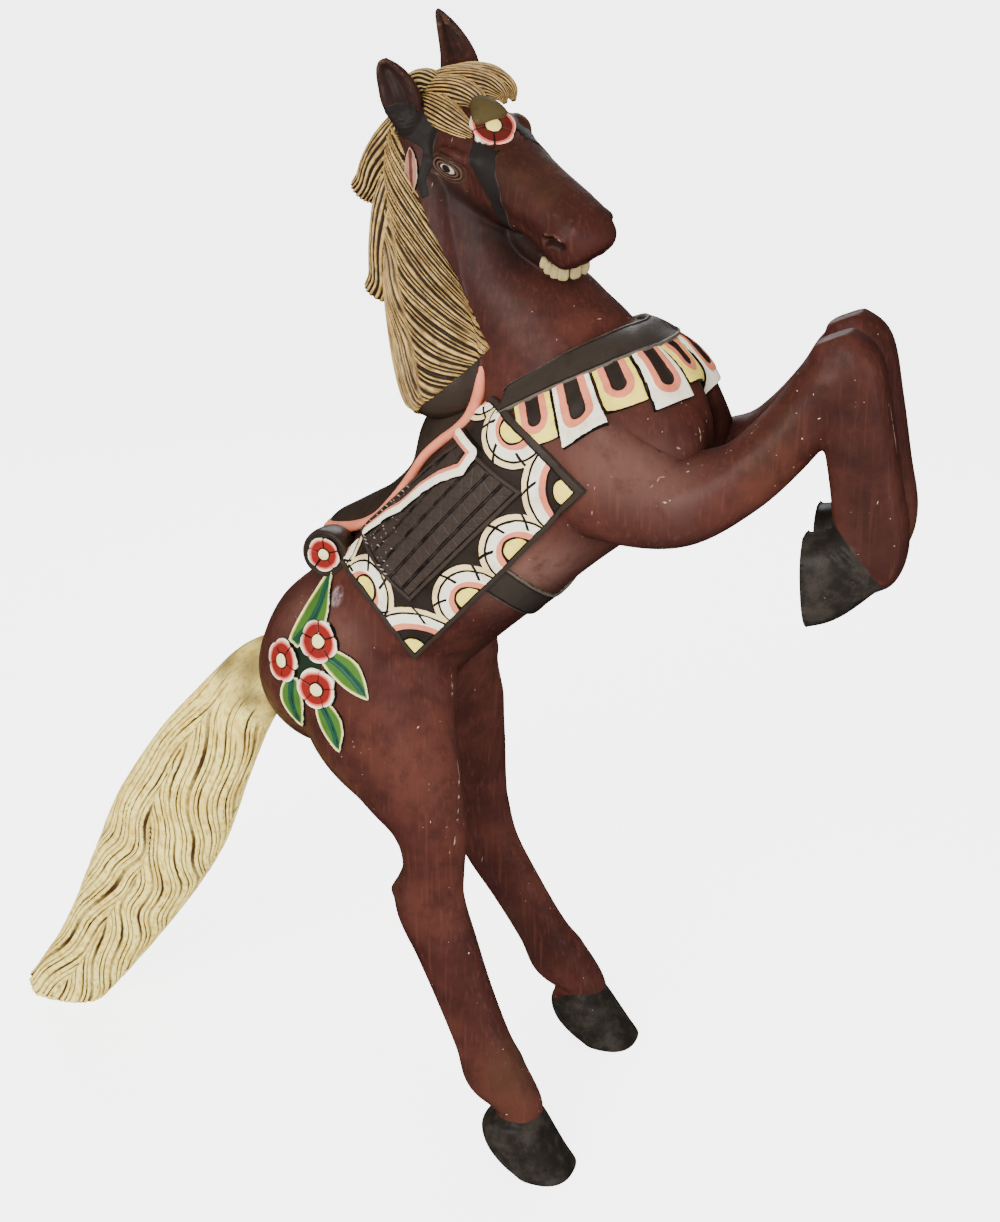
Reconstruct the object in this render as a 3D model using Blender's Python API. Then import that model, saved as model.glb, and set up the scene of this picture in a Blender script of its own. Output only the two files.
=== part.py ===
"""A rearing carousel horse, carved in wood, that stands on its hind hooves and its tail.

Lengths are in metres.  Everything is shaped in the stance frame: the origin lies on the ground
between the hind hooves, +X is where the horse faces, +Y is its left side and +Z is up.  The last
step moves the finished pieces so that the origin is the bottom centre of the whole horse.
"""

import math

import bmesh
import bpy
import numpy as np
from mathutils import Matrix
from mathutils.bvhtree import BVHTree

# Driving dimensions
STANCE_TO_CENTRE = 0.214  # from the hind hooves back to the middle of the horse's length
TRUNK_MIDDLE = np.array([-0.100, 0.0, 0.700])
TRUNK_PITCH = math.radians(47)  # how steeply the trunk rises towards the head
POLL = np.array([-0.170, 0.0, 1.153])  # top of the skull, between the ears
HEAD_FORWARD = np.array([0.835, -0.361, -0.415])  # the head is turned and tipped to its right
HEAD_UP = np.array([0.234, -0.450, 0.862])
VOXEL = 0.005
BODY_TRIANGLES = 5800
TAIL_TRIANGLES = 800
GAP = 0.0003  # between the tail and the rump that it is fitted to
ROOTED = 0.014  # how deep the raised carving is rooted in the body

# Trappings, measured along and around the trunk, and around an upright axis through the chest
BLANKET_REAR = -0.120
BLANKET_FRONT = 0.158
BLANKET_DROP = 19  # degrees below level, at each side
BLANKET_RISE = 44  # degrees above level, where the seat begins
GIRTH_MIDDLE = 0.018
STRAP_WIDTH = 0.036
STRAP_AXIS_X = -0.030
STRAP_END = math.radians(108)
STRAP_FRONT_HEIGHT = 0.934
STRAP_FALL = 0.056
TAB_PITCH = math.radians(18.5)
TABS_EACH_SIDE = 5
TAB_WIDTH = math.radians(17)
LONG_TAB = 0.068
SHORT_TAB = 0.046
CHEST_REACH = 0.20  # clear of the chest, and behind the knees

# The flowers and leaves on the right of the rump, as x and z
FLOWERS = [(-0.274, 0.587), (-0.328, 0.551), (-0.275, 0.535)]
LEAVES = [
    [(-0.300, 0.600), (-0.292, 0.652)],
    [(-0.262, 0.570), (-0.222, 0.527)],
    [(-0.270, 0.523), (-0.250, 0.478)],
    [(-0.305, 0.540), (-0.298, 0.490)],
]
LEAF_WIDTH = 0.024
FLOWER_RADIUS = 0.021
PETALS = 5

BROWN = (0.135, 0.035, 0.022, 1.0)
CREAM = (0.62, 0.47, 0.24, 1.0)

AROUND = 28  # points around a limb
STEPS = 5  # samples between two rows of a limb
LEFT = np.array([0.0, 1.0, 0.0])


def clear_scene():
    for obj in list(bpy.data.objects):
        bpy.data.objects.remove(obj, do_unlink=True)


def unit(vectors):
    vectors = np.asarray(vectors, float)
    return vectors / np.linalg.norm(vectors, axis=-1, keepdims=True)


def painted(name, colour, roughness):
    material = bpy.data.materials.new(name)
    material.use_nodes = True
    shader = material.node_tree.nodes["Principled BSDF"]
    shader.inputs["Base Color"].default_value = colour
    shader.inputs["Roughness"].default_value = roughness
    shader.inputs["Metallic"].default_value = 0.0
    return material


def new_object(name, points, faces):
    mesh = bpy.data.meshes.new(name)
    mesh.from_pydata([tuple(p) for p in points], [], faces)
    obj = bpy.data.objects.new(name, mesh)
    bpy.context.scene.collection.objects.link(obj)
    return obj


def settle(obj):
    """Applies the modifiers of an object."""
    graph = bpy.context.evaluated_depsgraph_get()
    mesh = bpy.data.meshes.new_from_object(obj.evaluated_get(graph))
    obj.modifiers.clear()
    obj.data = mesh
    return obj


def along_curve(rows):
    """The rows carried along a Catmull-Rom curve through all of them."""
    rows = np.array(rows, float)
    padded = np.vstack([2 * rows[0] - rows[1], rows, 2 * rows[-1] - rows[-2]])
    t = np.arange(STEPS)[:, None] / STEPS
    spans = []
    for a, b, c, d in zip(padded, padded[1:], padded[2:], padded[3:]):
        slope = (c - a) * t
        bend = (2 * a - 5 * b + 4 * c - d) * t**2
        twist = (3 * b - a - 3 * c + d) * t**3
        spans.append(b + 0.5 * (slope + bend + twist))
    return np.vstack(spans + [rows[-1:]])


def limb(name, rows, left=LEFT, level=None, squareness=2.0):
    """A closed loft of ovals across a spine.

    Each row is x, y, z, half the depth and half the width.  The width runs towards left and the
    depth across it.  The ovals stand square to the spine, or to level where one is given.
    """
    samples = along_curve(rows)
    spine = samples[:, :3]
    forward = unit(np.gradient(spine, axis=0))
    if level is not None:
        forward = np.tile(unit(level), (len(spine), 1))
    side = unit(left - forward * (forward @ left)[:, None])
    upward = np.cross(forward, side)
    turn = np.linspace(0, 2 * math.pi, AROUND, endpoint=False)
    across = np.sign(np.cos(turn)) * np.abs(np.cos(turn)) ** (2 / squareness)
    over = np.sign(np.sin(turn)) * np.abs(np.sin(turn)) ** (2 / squareness)
    rings = (
        spine[:, None]
        + side[:, None] * (samples[:, 4, None] * across)[:, :, None]
        + upward[:, None] * (samples[:, 3, None] * over)[:, :, None]
    )
    count = len(spine)
    points = np.vstack([rings.reshape(-1, 3), spine[:1], spine[-1:]])
    faces = []
    for ring in range(count - 1):
        for step in range(AROUND):
            following = (step + 1) % AROUND
            low = ring * AROUND
            high = low + AROUND
            faces.append((low + step, low + following, high + following, high + step))
    first, last = count * AROUND, count * AROUND + 1
    end = (count - 1) * AROUND
    for step in range(AROUND):
        following = (step + 1) % AROUND
        faces.append((first, following, step))
        faces.append((last, end + step, end + following))
    return new_object(name, points, faces)


def on_left(rows):
    """A right foreleg's rows as the left foreleg's."""
    return [(x - LEFT_FORELEG_BACK, -y, z, depth, width) for x, y, z, depth, width in rows]


def trunk_point(along, over, across=0.0):
    """A place in the trunk's frame: along it to the head, over it to the back, and to the left."""
    cosine, sine = math.cos(TRUNK_PITCH), math.sin(TRUNK_PITCH)
    x = along * cosine - over * sine
    z = along * sine + over * cosine
    return TRUNK_MIDDLE + np.array([x, across, z])


def trunk_rows(rows):
    """Rows of along, over, half depth and half width as rows of a limb."""
    return [(*trunk_point(along, over), depth, width) for along, over, depth, width in rows]


HEAD_LEFT = np.cross(HEAD_UP, HEAD_FORWARD)


def head_point(along, up, left=0.0):
    """A place on the head: along it from the poll to the nose, up from the brow, and to its left."""
    return POLL + along * HEAD_FORWARD + up * HEAD_UP + left * HEAD_LEFT


def head_rows(rows):
    """Rows of along, up, left, half depth and half width as rows of a limb."""
    return [(*head_point(along, up, left), depth, width) for along, up, left, depth, width in rows]


def trunk():
    return limb(
        "trunk",
        trunk_rows([
            (-0.362, 0.005, 0.020, 0.030),
            (-0.346, 0.008, 0.058, 0.072),
            (-0.303, 0.014, 0.096, 0.112),
            (-0.240, 0.016, 0.112, 0.134),
            (-0.170, 0.021, 0.098, 0.130),
            (-0.090, 0.017, 0.096, 0.130),
            (0.000, 0.013, 0.101, 0.135),
            (0.080, 0.012, 0.108, 0.135),
            (0.155, 0.005, 0.111, 0.128),
            (0.218, -0.008, 0.100, 0.110),
            (0.262, -0.014, 0.072, 0.082),
            (0.284, -0.016, 0.030, 0.040),
        ]),
        squareness=2.2,
    )


def neck():
    return limb("neck", [
        (-0.040, 0.0, 0.800, 0.115, 0.100),
        (-0.048, 0.0, 0.860, 0.118, 0.094),
        (-0.078, 0.0, 0.915, 0.098, 0.080),
        (-0.122, 0.0, 0.978, 0.073, 0.066),
        (-0.142, 0.0, 1.045, 0.064, 0.054),
        (-0.150, 0.0, 1.105, 0.054, 0.046),
    ])


def skull():
    return limb("skull", head_rows([
        (-0.034, -0.045, 0, 0.020, 0.025),
        (-0.010, -0.044, 0, 0.042, 0.044),
        (0.030, -0.042, 0, 0.054, 0.053),
        (0.065, -0.040, 0, 0.054, 0.054),
        (0.105, -0.035, 0, 0.045, 0.045),
        (0.150, -0.031, 0, 0.035, 0.037),
        (0.190, -0.031, 0, 0.031, 0.036),
        (0.217, -0.036, 0, 0.034, 0.035),
        (0.234, -0.044, 0, 0.022, 0.023),
    ]), left=HEAD_LEFT, squareness=2.3)


def jaw():
    return limb("jaw", head_rows([
        (-0.005, -0.080, 0, 0.025, 0.030),
        (0.035, -0.088, 0, 0.038, 0.041),
        (0.075, -0.084, 0, 0.035, 0.040),
        (0.120, -0.078, 0, 0.022, 0.030),
        (0.170, -0.080, 0, 0.014, 0.024),
        (0.205, -0.082, 0, 0.012, 0.022),
        (0.217, -0.082, 0, 0.006, 0.012),
    ]), left=HEAD_LEFT)


def ear(side):
    """side is -1 for the right ear and 1 for the left, which is pricked a little higher."""
    tip = head_point(-0.056 - 0.006 * side, 0.051 + 0.007 * side, side * 0.048)
    root = head_point(-0.006, -0.018, side * 0.034)
    rows = []
    for share, depth, width in (
        (0.0, 0.016, 0.017),
        (0.4, 0.015, 0.020),
        (0.7, 0.010, 0.016),
        (0.93, 0.005, 0.007),
        (1.0, 0.002, 0.003),
    ):
        rows.append((*(root + share * (tip - root)), depth, width))
    return limb(f"ear{side}", rows, left=HEAD_LEFT)


def brow(side):
    """The bone over an eye."""
    return limb(f"brow{side}", head_rows([
        (0.035, -0.014, side * 0.044, 0.004, 0.005),
        (0.045, -0.012, side * 0.047, 0.011, 0.012),
        (0.065, -0.010, side * 0.050, 0.012, 0.012),
        (0.082, -0.014, side * 0.047, 0.004, 0.005),
    ]), left=HEAD_LEFT)


def mane():
    """The hair that lies over both sides of the neck, from the poll to the saddle."""
    return limb("mane", [
        (-0.170, 0.0, 1.150, 0.040, 0.040),
        (-0.178, 0.0, 1.105, 0.046, 0.052),
        (-0.172, 0.0, 1.035, 0.054, 0.064),
        (-0.158, 0.0, 0.965, 0.064, 0.078),
        (-0.142, 0.0, 0.900, 0.068, 0.092),
        (-0.135, 0.0, 0.855, 0.058, 0.094),
        (-0.130, 0.0, 0.835, 0.030, 0.060),
    ], squareness=2.3)


def mane_lock(number, rows):
    """A lock that stands off the crest of the neck and hangs down behind it."""
    return limb(f"mane_lock_{number}", rows)


MANE_LOCKS = [
    [
        (-0.190, 0.0, 1.150, 0.020, 0.026),
        (-0.214, 0.0, 1.115, 0.022, 0.028),
        (-0.238, 0.0, 1.080, 0.020, 0.026),
        (-0.256, 0.0, 1.056, 0.010, 0.018),
    ],
    [
        (-0.205, 0.0, 1.080, 0.026, 0.034),
        (-0.222, 0.0, 1.020, 0.026, 0.036),
        (-0.232, 0.0, 0.970, 0.018, 0.028),
        (-0.238, 0.0, 0.948, 0.009, 0.018),
    ],
    [
        (-0.195, 0.0, 0.960, 0.026, 0.040),
        (-0.196, 0.0, 0.900, 0.026, 0.042),
        (-0.194, 0.0, 0.850, 0.018, 0.032),
        (-0.197, 0.0, 0.826, 0.009, 0.018),
    ],
]


def forelock():
    return limb("forelock", head_rows([
        (-0.030, -0.005, 0.002, 0.022, 0.026),
        (-0.005, 0.010, 0.012, 0.027, 0.046),
        (0.025, 0.020, 0.018, 0.024, 0.052),
        (0.050, 0.022, 0.018, 0.016, 0.042),
        (0.068, 0.016, 0.014, 0.006, 0.020),
    ]), left=HEAD_LEFT)


def saddle():
    """The seat, hollow between its pommel and its cantle."""
    return limb("saddle", trunk_rows([
        (0.120, 0.085, 0.038, 0.070),
        (0.080, 0.087, 0.050, 0.084),
        (0.035, 0.085, 0.054, 0.086),
        (0.005, 0.077, 0.049, 0.086),
        (-0.060, 0.066, 0.046, 0.086),
        (-0.110, 0.069, 0.044, 0.082),
        (-0.140, 0.080, 0.047, 0.072),
        (-0.160, 0.096, 0.040, 0.056),
        (-0.168, 0.103, 0.022, 0.038),
    ]), squareness=2.6)


def bedroll():
    """The rolled pack strapped across the back behind the cantle."""
    along, over, radius, half_length = -0.140, 0.110, 0.027, 0.096
    rows = []
    for share in (-1, -0.98, -0.5, 0, 0.5, 0.98, 1):
        place = trunk_point(along, over + 0.016 * (1 - share**2), share * half_length)
        rows.append((*place, radius, radius))
    return limb("bedroll", rows, left=np.array([0.0, 0.0, 1.0]))


FORELEG = [
    (-0.010, -0.070, 0.830, 0.080, 0.052),
    (0.045, -0.085, 0.785, 0.066, 0.052),
    (0.114, -0.083, 0.766, 0.046, 0.045),
    (0.170, -0.074, 0.797, 0.039, 0.041),
    (0.209, -0.066, 0.836, 0.035, 0.038),
    (0.240, -0.060, 0.878, 0.036, 0.036),
    (0.258, -0.056, 0.911, 0.041, 0.036),
    (0.268, -0.055, 0.930, 0.028, 0.027),
]
FORE_SHANK = [
    (0.254, -0.055, 0.945, 0.018, 0.022),
    (0.267, -0.055, 0.917, 0.038, 0.034),
    (0.286, -0.055, 0.860, 0.035, 0.031),
    (0.298, -0.055, 0.800, 0.035, 0.028),
    (0.306, -0.055, 0.750, 0.037, 0.029),
    (0.306, -0.055, 0.715, 0.030, 0.028),
    (0.304, -0.055, 0.698, 0.013, 0.014),
]
FORE_HOOF = [
    (0.322, -0.055, 0.742, 0.026, 0.025),
    (0.304, -0.055, 0.726, 0.035, 0.032),
    (0.272, -0.055, 0.702, 0.041, 0.037),
    (0.246, -0.055, 0.685, 0.045, 0.039),
]
LEFT_FORELEG_BACK = 0.009  # the left foreleg is held this much further back than the right

RIGHT_HIND = [
    (-0.235, -0.065, 0.585, 0.092, 0.062),
    (-0.215, -0.085, 0.500, 0.094, 0.058),
    (-0.174, -0.105, 0.437, 0.064, 0.050),
    (-0.147, -0.115, 0.390, 0.044, 0.042),
    (-0.141, -0.122, 0.340, 0.036, 0.034),
    (-0.143, -0.126, 0.300, 0.041, 0.032),
    (-0.122, -0.130, 0.250, 0.037, 0.029),
    (-0.100, -0.135, 0.200, 0.034, 0.026),
    (-0.075, -0.140, 0.145, 0.033, 0.026),
    (-0.060, -0.142, 0.112, 0.037, 0.030),
    (-0.042, -0.143, 0.090, 0.029, 0.029),
    (-0.033, -0.143, 0.072, 0.028, 0.029),
    (-0.030, -0.143, 0.050, 0.026, 0.027),
]
RIGHT_HIND_HOOF = [
    (-0.036, -0.143, 0.068, 0.031, 0.031),
    (-0.032, -0.143, 0.052, 0.040, 0.038),
    (-0.022, -0.143, 0.030, 0.044, 0.041),
    (-0.008, -0.143, 0.012, 0.042, 0.041),
    (0.003, -0.143, 0.000, 0.036, 0.040),
    (0.012, -0.143, -0.012, 0.030, 0.038),
]
LEFT_HIND = [
    (-0.235, 0.065, 0.585, 0.092, 0.062),
    (-0.232, 0.085, 0.500, 0.092, 0.058),
    (-0.206, 0.105, 0.435, 0.068, 0.050),
    (-0.190, 0.115, 0.390, 0.046, 0.042),
    (-0.184, 0.122, 0.340, 0.038, 0.034),
    (-0.184, 0.127, 0.300, 0.041, 0.032),
    (-0.168, 0.130, 0.250, 0.037, 0.029),
    (-0.136, 0.134, 0.195, 0.033, 0.026),
    (-0.102, 0.138, 0.138, 0.032, 0.026),
    (-0.082, 0.141, 0.105, 0.037, 0.030),
    (-0.060, 0.143, 0.082, 0.030, 0.029),
    (-0.048, 0.143, 0.064, 0.028, 0.029),
    (-0.042, 0.143, 0.045, 0.026, 0.027),
]
LEFT_HIND_HOOF = [
    (-0.052, 0.143, 0.064, 0.032, 0.031),
    (-0.048, 0.143, 0.050, 0.041, 0.038),
    (-0.036, 0.143, 0.028, 0.046, 0.041),
    (-0.020, 0.143, 0.011, 0.043, 0.041),
    (-0.010, 0.143, 0.000, 0.037, 0.040),
    (-0.002, 0.143, -0.012, 0.030, 0.038),
]
TAIL = [
    (-0.375, 0.0, 0.512, 0.036, 0.028),
    (-0.410, 0.0, 0.487, 0.042, 0.034),
    (-0.448, 0.0, 0.440, 0.048, 0.040),
    (-0.495, 0.0, 0.368, 0.062, 0.048),
    (-0.543, 0.0, 0.280, 0.074, 0.052),
    (-0.594, 0.0, 0.190, 0.067, 0.048),
    (-0.660, 0.0, 0.085, 0.052, 0.038),
    (-0.726, 0.0, 0.000, 0.045, 0.030),
    (-0.742, 0.0, -0.018, 0.044, 0.029),
]


def legs():
    level = (0, 0, 1)
    pieces = []
    for name, rows, hoof in (
        ("right", RIGHT_HIND, RIGHT_HIND_HOOF),
        ("left", LEFT_HIND, LEFT_HIND_HOOF),
    ):
        pieces.append(limb(f"{name}_hind_leg", rows))
        pieces.append(limb(f"{name}_hind_hoof", hoof, level=level))
    for name, side in (("right", list), ("left", on_left)):
        pieces.append(limb(f"{name}_forearm", side(FORELEG)))
        pieces.append(limb(f"{name}_fore_shank", side(FORE_SHANK)))
        pieces.append(limb(f"{name}_fore_hoof", side(FORE_HOOF)))
    return pieces


def fused(name, pieces, triangles):
    """One skin around all the pieces, smoothed where they meet and thinned to so many triangles."""
    points, faces = [], []
    for piece in pieces:
        start = len(points)
        points.extend(v.co for v in piece.data.vertices)
        faces.extend([start + i for i in p.vertices] for p in piece.data.polygons)
        bpy.data.objects.remove(piece, do_unlink=True)
    obj = new_object(name, points, faces)
    skin = obj.modifiers.new("skin", "REMESH")
    skin.mode = "VOXEL"
    skin.voxel_size = VOXEL
    smooth = obj.modifiers.new("smooth", "SMOOTH")
    smooth.iterations = 8
    settle(obj)
    present = sum(len(p.vertices) - 2 for p in obj.data.polygons)
    thin = obj.modifiers.new("thin", "DECIMATE")
    thin.ratio = triangles / present
    return settle(obj)


def cut_flat(obj):
    """Takes off whatever lies below the ground."""
    block = new_object(
        "ground_block",
        [(x, y, z) for x in (-1, 1) for y in (-1, 1) for z in (-0.2, 0)],
        [(0, 1, 3, 2), (4, 6, 7, 5), (0, 4, 5, 1), (2, 3, 7, 6), (0, 2, 6, 4), (1, 5, 7, 3)],
    )
    saw = obj.modifiers.new("saw", "BOOLEAN")
    saw.operation = "DIFFERENCE"
    saw.object = block
    settle(obj)
    bpy.data.objects.remove(block, do_unlink=True)
    return obj


def slab(name, horse, starts, aims, proud):
    """A solid sheet that follows the horse's surface.

    The starts are a grid of points in the open, and each is carried along its aim to the horse.
    The sheet stands proud of the places that they reach, and is rooted as deep below them.
    """
    starts, aims = np.asarray(starts, float), unit(aims)
    rows, columns = starts.shape[:2]
    starts, aims = starts.reshape(-1, 3), aims.reshape(-1, 3)
    skin = BVHTree.FromObject(horse, bpy.context.evaluated_depsgraph_get())
    hits = np.array([skin.ray_cast(a, b)[0] for a, b in zip(starts, aims)])
    points = np.vstack([hits - aims * proud, hits + aims * ROOTED])
    under = rows * columns
    top = np.arange(under).reshape(rows, columns)
    corners = (top[:-1, :-1], top[:-1, 1:], top[1:, 1:], top[1:, :-1])
    squares = np.stack([c.ravel() for c in corners], axis=1)
    rim = np.concatenate([top[0, :-1], top[:-1, -1], top[-1, :0:-1], top[:0:-1, 0]])
    following = np.roll(rim, -1)
    walls = np.stack([following, rim, rim + under, following + under], axis=1)
    obj = new_object(name, points, [*squares, *(squares[:, ::-1] + under), *walls])
    shape = bmesh.new()
    shape.from_mesh(obj.data)
    bmesh.ops.recalc_face_normals(shape, faces=shape.faces)
    shape.to_mesh(obj.data)
    shape.free()
    return obj


def on_trunk(name, horse, alongs, angles, proud):
    """A slab on the trunk, with angles in degrees, counted up from level on its right side."""
    reach = 0.25
    starts, aims = [], []
    for along in alongs:
        for angle in np.radians(angles):
            away = trunk_point(along, reach * math.sin(angle), -reach * math.cos(angle))
            starts.append(away)
            aims.append(trunk_point(along, 0) - away)
    shape = (len(alongs), len(angles), 3)
    return slab(name, horse, np.reshape(starts, shape), np.reshape(aims, shape), proud)


def blanket(horse, side):
    """One side of the saddle cloth, from the edge of the seat to below the middle of the flank."""
    angles = np.linspace(-BLANKET_DROP, BLANKET_RISE, 9)
    if side > 0:
        angles = 180 - angles
    alongs = np.linspace(BLANKET_REAR, BLANKET_FRONT, 11)
    return on_trunk(f"blanket{side}", horse, alongs, angles, 0.006)


def girth(horse):
    """The strap under the belly, from one side of the saddle cloth to the other."""
    start = 4 - BLANKET_DROP
    alongs = (GIRTH_MIDDLE - STRAP_WIDTH / 2, GIRTH_MIDDLE + STRAP_WIDTH / 2)
    return on_trunk("girth", horse, alongs, np.linspace(start, -180 - start, 15), 0.004)


def strap_height(angle):
    """The breast strap's middle: level across the chest, and falling towards each side."""
    return STRAP_FRONT_HEIGHT - STRAP_FALL * abs(angle / STRAP_END) ** 3


def on_chest(name, horse, angles, drops, proud):
    """A slab on the chest, with angles from straight ahead, and drops below the strap's middle."""
    starts, aims = [], []
    for drop in drops:
        for angle in angles:
            away = np.array([math.cos(angle), math.sin(angle), 0]) * CHEST_REACH
            starts.append(away + (STRAP_AXIS_X, 0, strap_height(angle) - drop))
            aims.append(-away)
    shape = (len(drops), len(angles), 3)
    return slab(name, horse, np.reshape(starts, shape), np.reshape(aims, shape), proud)


def breast_strap(horse):
    angles = np.linspace(-STRAP_END, STRAP_END, 25)
    return on_chest("breast_strap", horse, angles, (-STRAP_WIDTH / 2, STRAP_WIDTH / 2), 0.007)


def breast_tab(horse, number):
    """One tab below the strap. Tab 0 is in the middle, and every other one is shorter."""
    length = LONG_TAB if number % 2 == 0 else SHORT_TAB
    middle = number * TAB_PITCH
    angles = [middle + share * TAB_WIDTH / 2 for share in (-1, 0, 1)]
    drops = [STRAP_WIDTH / 2 + drop for drop in (length, length / 2, -0.006)]
    return on_chest(f"breast_tab_{number}", horse, angles, drops, 0.0045)


def rosette(name, horse, start, aim, upward):
    """A flower of rounded petals with a raised middle, set square to the horse where the aim ends."""
    skin = BVHTree.FromObject(horse, bpy.context.evaluated_depsgraph_get())
    place, outward = (np.array(found) for found in skin.ray_cast(start, aim)[:2])
    across = unit(np.cross(upward, outward))
    upward = np.cross(outward, across)
    turns = np.linspace(0, 2 * math.pi, 4 * PETALS, endpoint=False)
    reach = FLOWER_RADIUS * (1 + 0.10 * np.cos(PETALS * turns))
    petals = np.outer(reach * np.cos(turns), across) + np.outer(reach * np.sin(turns), upward)
    heart = place + 0.006 * outward
    rim = place + petals + 0.004 * outward
    root = place + petals - ROOTED * outward
    count = len(turns)
    faces = [tuple(range(2 * count, count, -1))]
    for step in range(count):
        a, b = 1 + step, 1 + (step + 1) % count
        faces += [(0, a, b), (a, a + count, b + count, b)]
    return new_object(name, [heart, *rim, *root], faces)


def leaf(name, horse, root, tip):
    """A pointed leaf on the right side of the rump, between two places given by x and z."""
    root, tip = np.array(root), np.array(tip)
    along = tip - root
    sideways = np.array([-along[1], along[0]]) / np.linalg.norm(along) * LEAF_WIDTH / 2
    starts = []
    for edge in (-1, 0, 1):
        for share in np.linspace(0.02, 0.98, 7):
            x, z = root + share * along + edge * math.sin(math.pi * share) ** 0.8 * sideways
            starts.append((x, -0.25, z))
    starts = np.reshape(starts, (3, 7, 3))
    return slab(name, horse, starts, np.zeros_like(starts) + LEFT, 0.004)


def rump_flowers(horse):
    pieces = []
    for number, (x, z) in enumerate(FLOWERS):
        pieces.append(rosette(f"flower_{number}", horse, (x, -0.25, z), LEFT, (0, 0, 1)))
    for number, (root, tip) in enumerate(LEAVES):
        pieces.append(leaf(f"leaf_{number}", horse, root, tip))
    return pieces


def forehead_flower(horse):
    start = head_point(0.073, 0.100, 0.002)
    return rosette("forehead_flower", horse, start, -HEAD_UP, -HEAD_FORWARD)


def joined(horse, pieces):
    """The horse and the pieces carved on it, as one solid."""
    for piece in pieces:
        union = horse.modifiers.new(piece.name, "BOOLEAN")
        union.operation = "UNION"
        union.object = piece
    settle(horse)
    for piece in pieces:
        bpy.data.objects.remove(piece, do_unlink=True)
    return horse


def carved_horse():
    pieces = [trunk(), neck(), skull(), jaw(), *legs()]
    pieces += [part(side) for part in (ear, brow) for side in (-1, 1)]
    pieces += [mane(), forelock(), saddle(), bedroll()]
    pieces += [mane_lock(number, rows) for number, rows in enumerate(MANE_LOCKS)]
    horse = cut_flat(fused("carved_horse", pieces, BODY_TRIANGLES))
    relief = [blanket(horse, -1), blanket(horse, 1), girth(horse), breast_strap(horse)]
    relief.append(forehead_flower(horse))
    relief += [breast_tab(horse, number) for number in range(-TABS_EACH_SIDE, TABS_EACH_SIDE + 1)]
    relief += rump_flowers(horse)
    joined(horse, relief)
    horse.data.materials.clear()
    horse.data.materials.append(painted("brown_stain", BROWN, 0.35))
    return horse


def carved_tail(horse):
    """The tail, whose root is hollowed to fit the rump."""
    tail = cut_flat(fused("carved_tail", [limb("tail", TAIL)], TAIL_TRIANGLES))
    cutter = new_object("rump_cutter", [], [])
    cutter.data = horse.data.copy()
    swell = cutter.modifiers.new("swell", "DISPLACE")
    swell.mid_level = 0.0
    swell.strength = GAP
    settle(cutter)
    fit = tail.modifiers.new("fit", "BOOLEAN")
    fit.operation = "DIFFERENCE"
    fit.object = cutter
    settle(tail)
    bpy.data.objects.remove(cutter, do_unlink=True)
    tail.data.materials.clear()
    tail.data.materials.append(painted("cream_paint", CREAM, 0.5))
    return tail


clear_scene()
carving = carved_horse()
for piece in (carving, carved_tail(carving)):
    piece.data.transform(Matrix.Translation((STANCE_TO_CENTRE, 0.0, 0.0)))
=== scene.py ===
"""A rearing carousel horse, carved in wood and painted, standing on its hind hooves and tail."""

import math

import bmesh
import bpy
import numpy as np
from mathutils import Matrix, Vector


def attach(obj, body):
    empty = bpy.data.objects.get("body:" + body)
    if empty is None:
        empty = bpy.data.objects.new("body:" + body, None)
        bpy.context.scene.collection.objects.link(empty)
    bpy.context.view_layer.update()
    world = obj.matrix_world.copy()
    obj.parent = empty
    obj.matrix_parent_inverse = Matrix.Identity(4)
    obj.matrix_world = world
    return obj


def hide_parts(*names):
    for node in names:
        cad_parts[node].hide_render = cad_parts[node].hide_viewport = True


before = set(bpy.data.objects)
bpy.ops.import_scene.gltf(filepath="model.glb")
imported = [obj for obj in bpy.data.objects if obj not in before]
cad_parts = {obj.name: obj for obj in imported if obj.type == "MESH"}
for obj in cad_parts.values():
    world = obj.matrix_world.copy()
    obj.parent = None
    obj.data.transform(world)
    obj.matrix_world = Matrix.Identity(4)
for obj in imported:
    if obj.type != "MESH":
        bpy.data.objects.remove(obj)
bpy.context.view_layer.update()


# ---- Floor, lights and camera ----------------------------------------------------------------
# A pale seamless floor under three large soft lamps, seen from the horse's right and a little ahead.

def plug(tree, node, **inputs):
    """Joins a node's inputs to outputs, or gives them values.  An input goes by its name, with _ for
    each space, or by its number, as in i0."""
    for key, value in inputs.items():
        socket = node.inputs[int(key[1:]) if key[1:].isdigit() else key.replace("_", " ")]
        if isinstance(value, bpy.types.NodeSocket):
            tree.links.new(value, socket)
        else:
            socket.default_value = value
    return node


def node_maker(tree):
    """A maker of nodes in a tree, each with its own settings and its inputs plugged."""

    def add(kind, settings=(), **inputs):
        node = tree.nodes.new("ShaderNode" + kind)
        for key, value in dict(settings).items():
            setattr(node, key, value)
        return plug(tree, node, **inputs)

    return add


def nodes_for(material):
    """The material's node tree, its shader, and a maker of its nodes."""
    material.use_nodes = True
    tree = material.node_tree
    return tree, tree.nodes["Principled BSDF"], node_maker(tree)


def grey(level):
    """A grey as red, green, blue and alpha."""
    return level, level, level, 1


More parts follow.
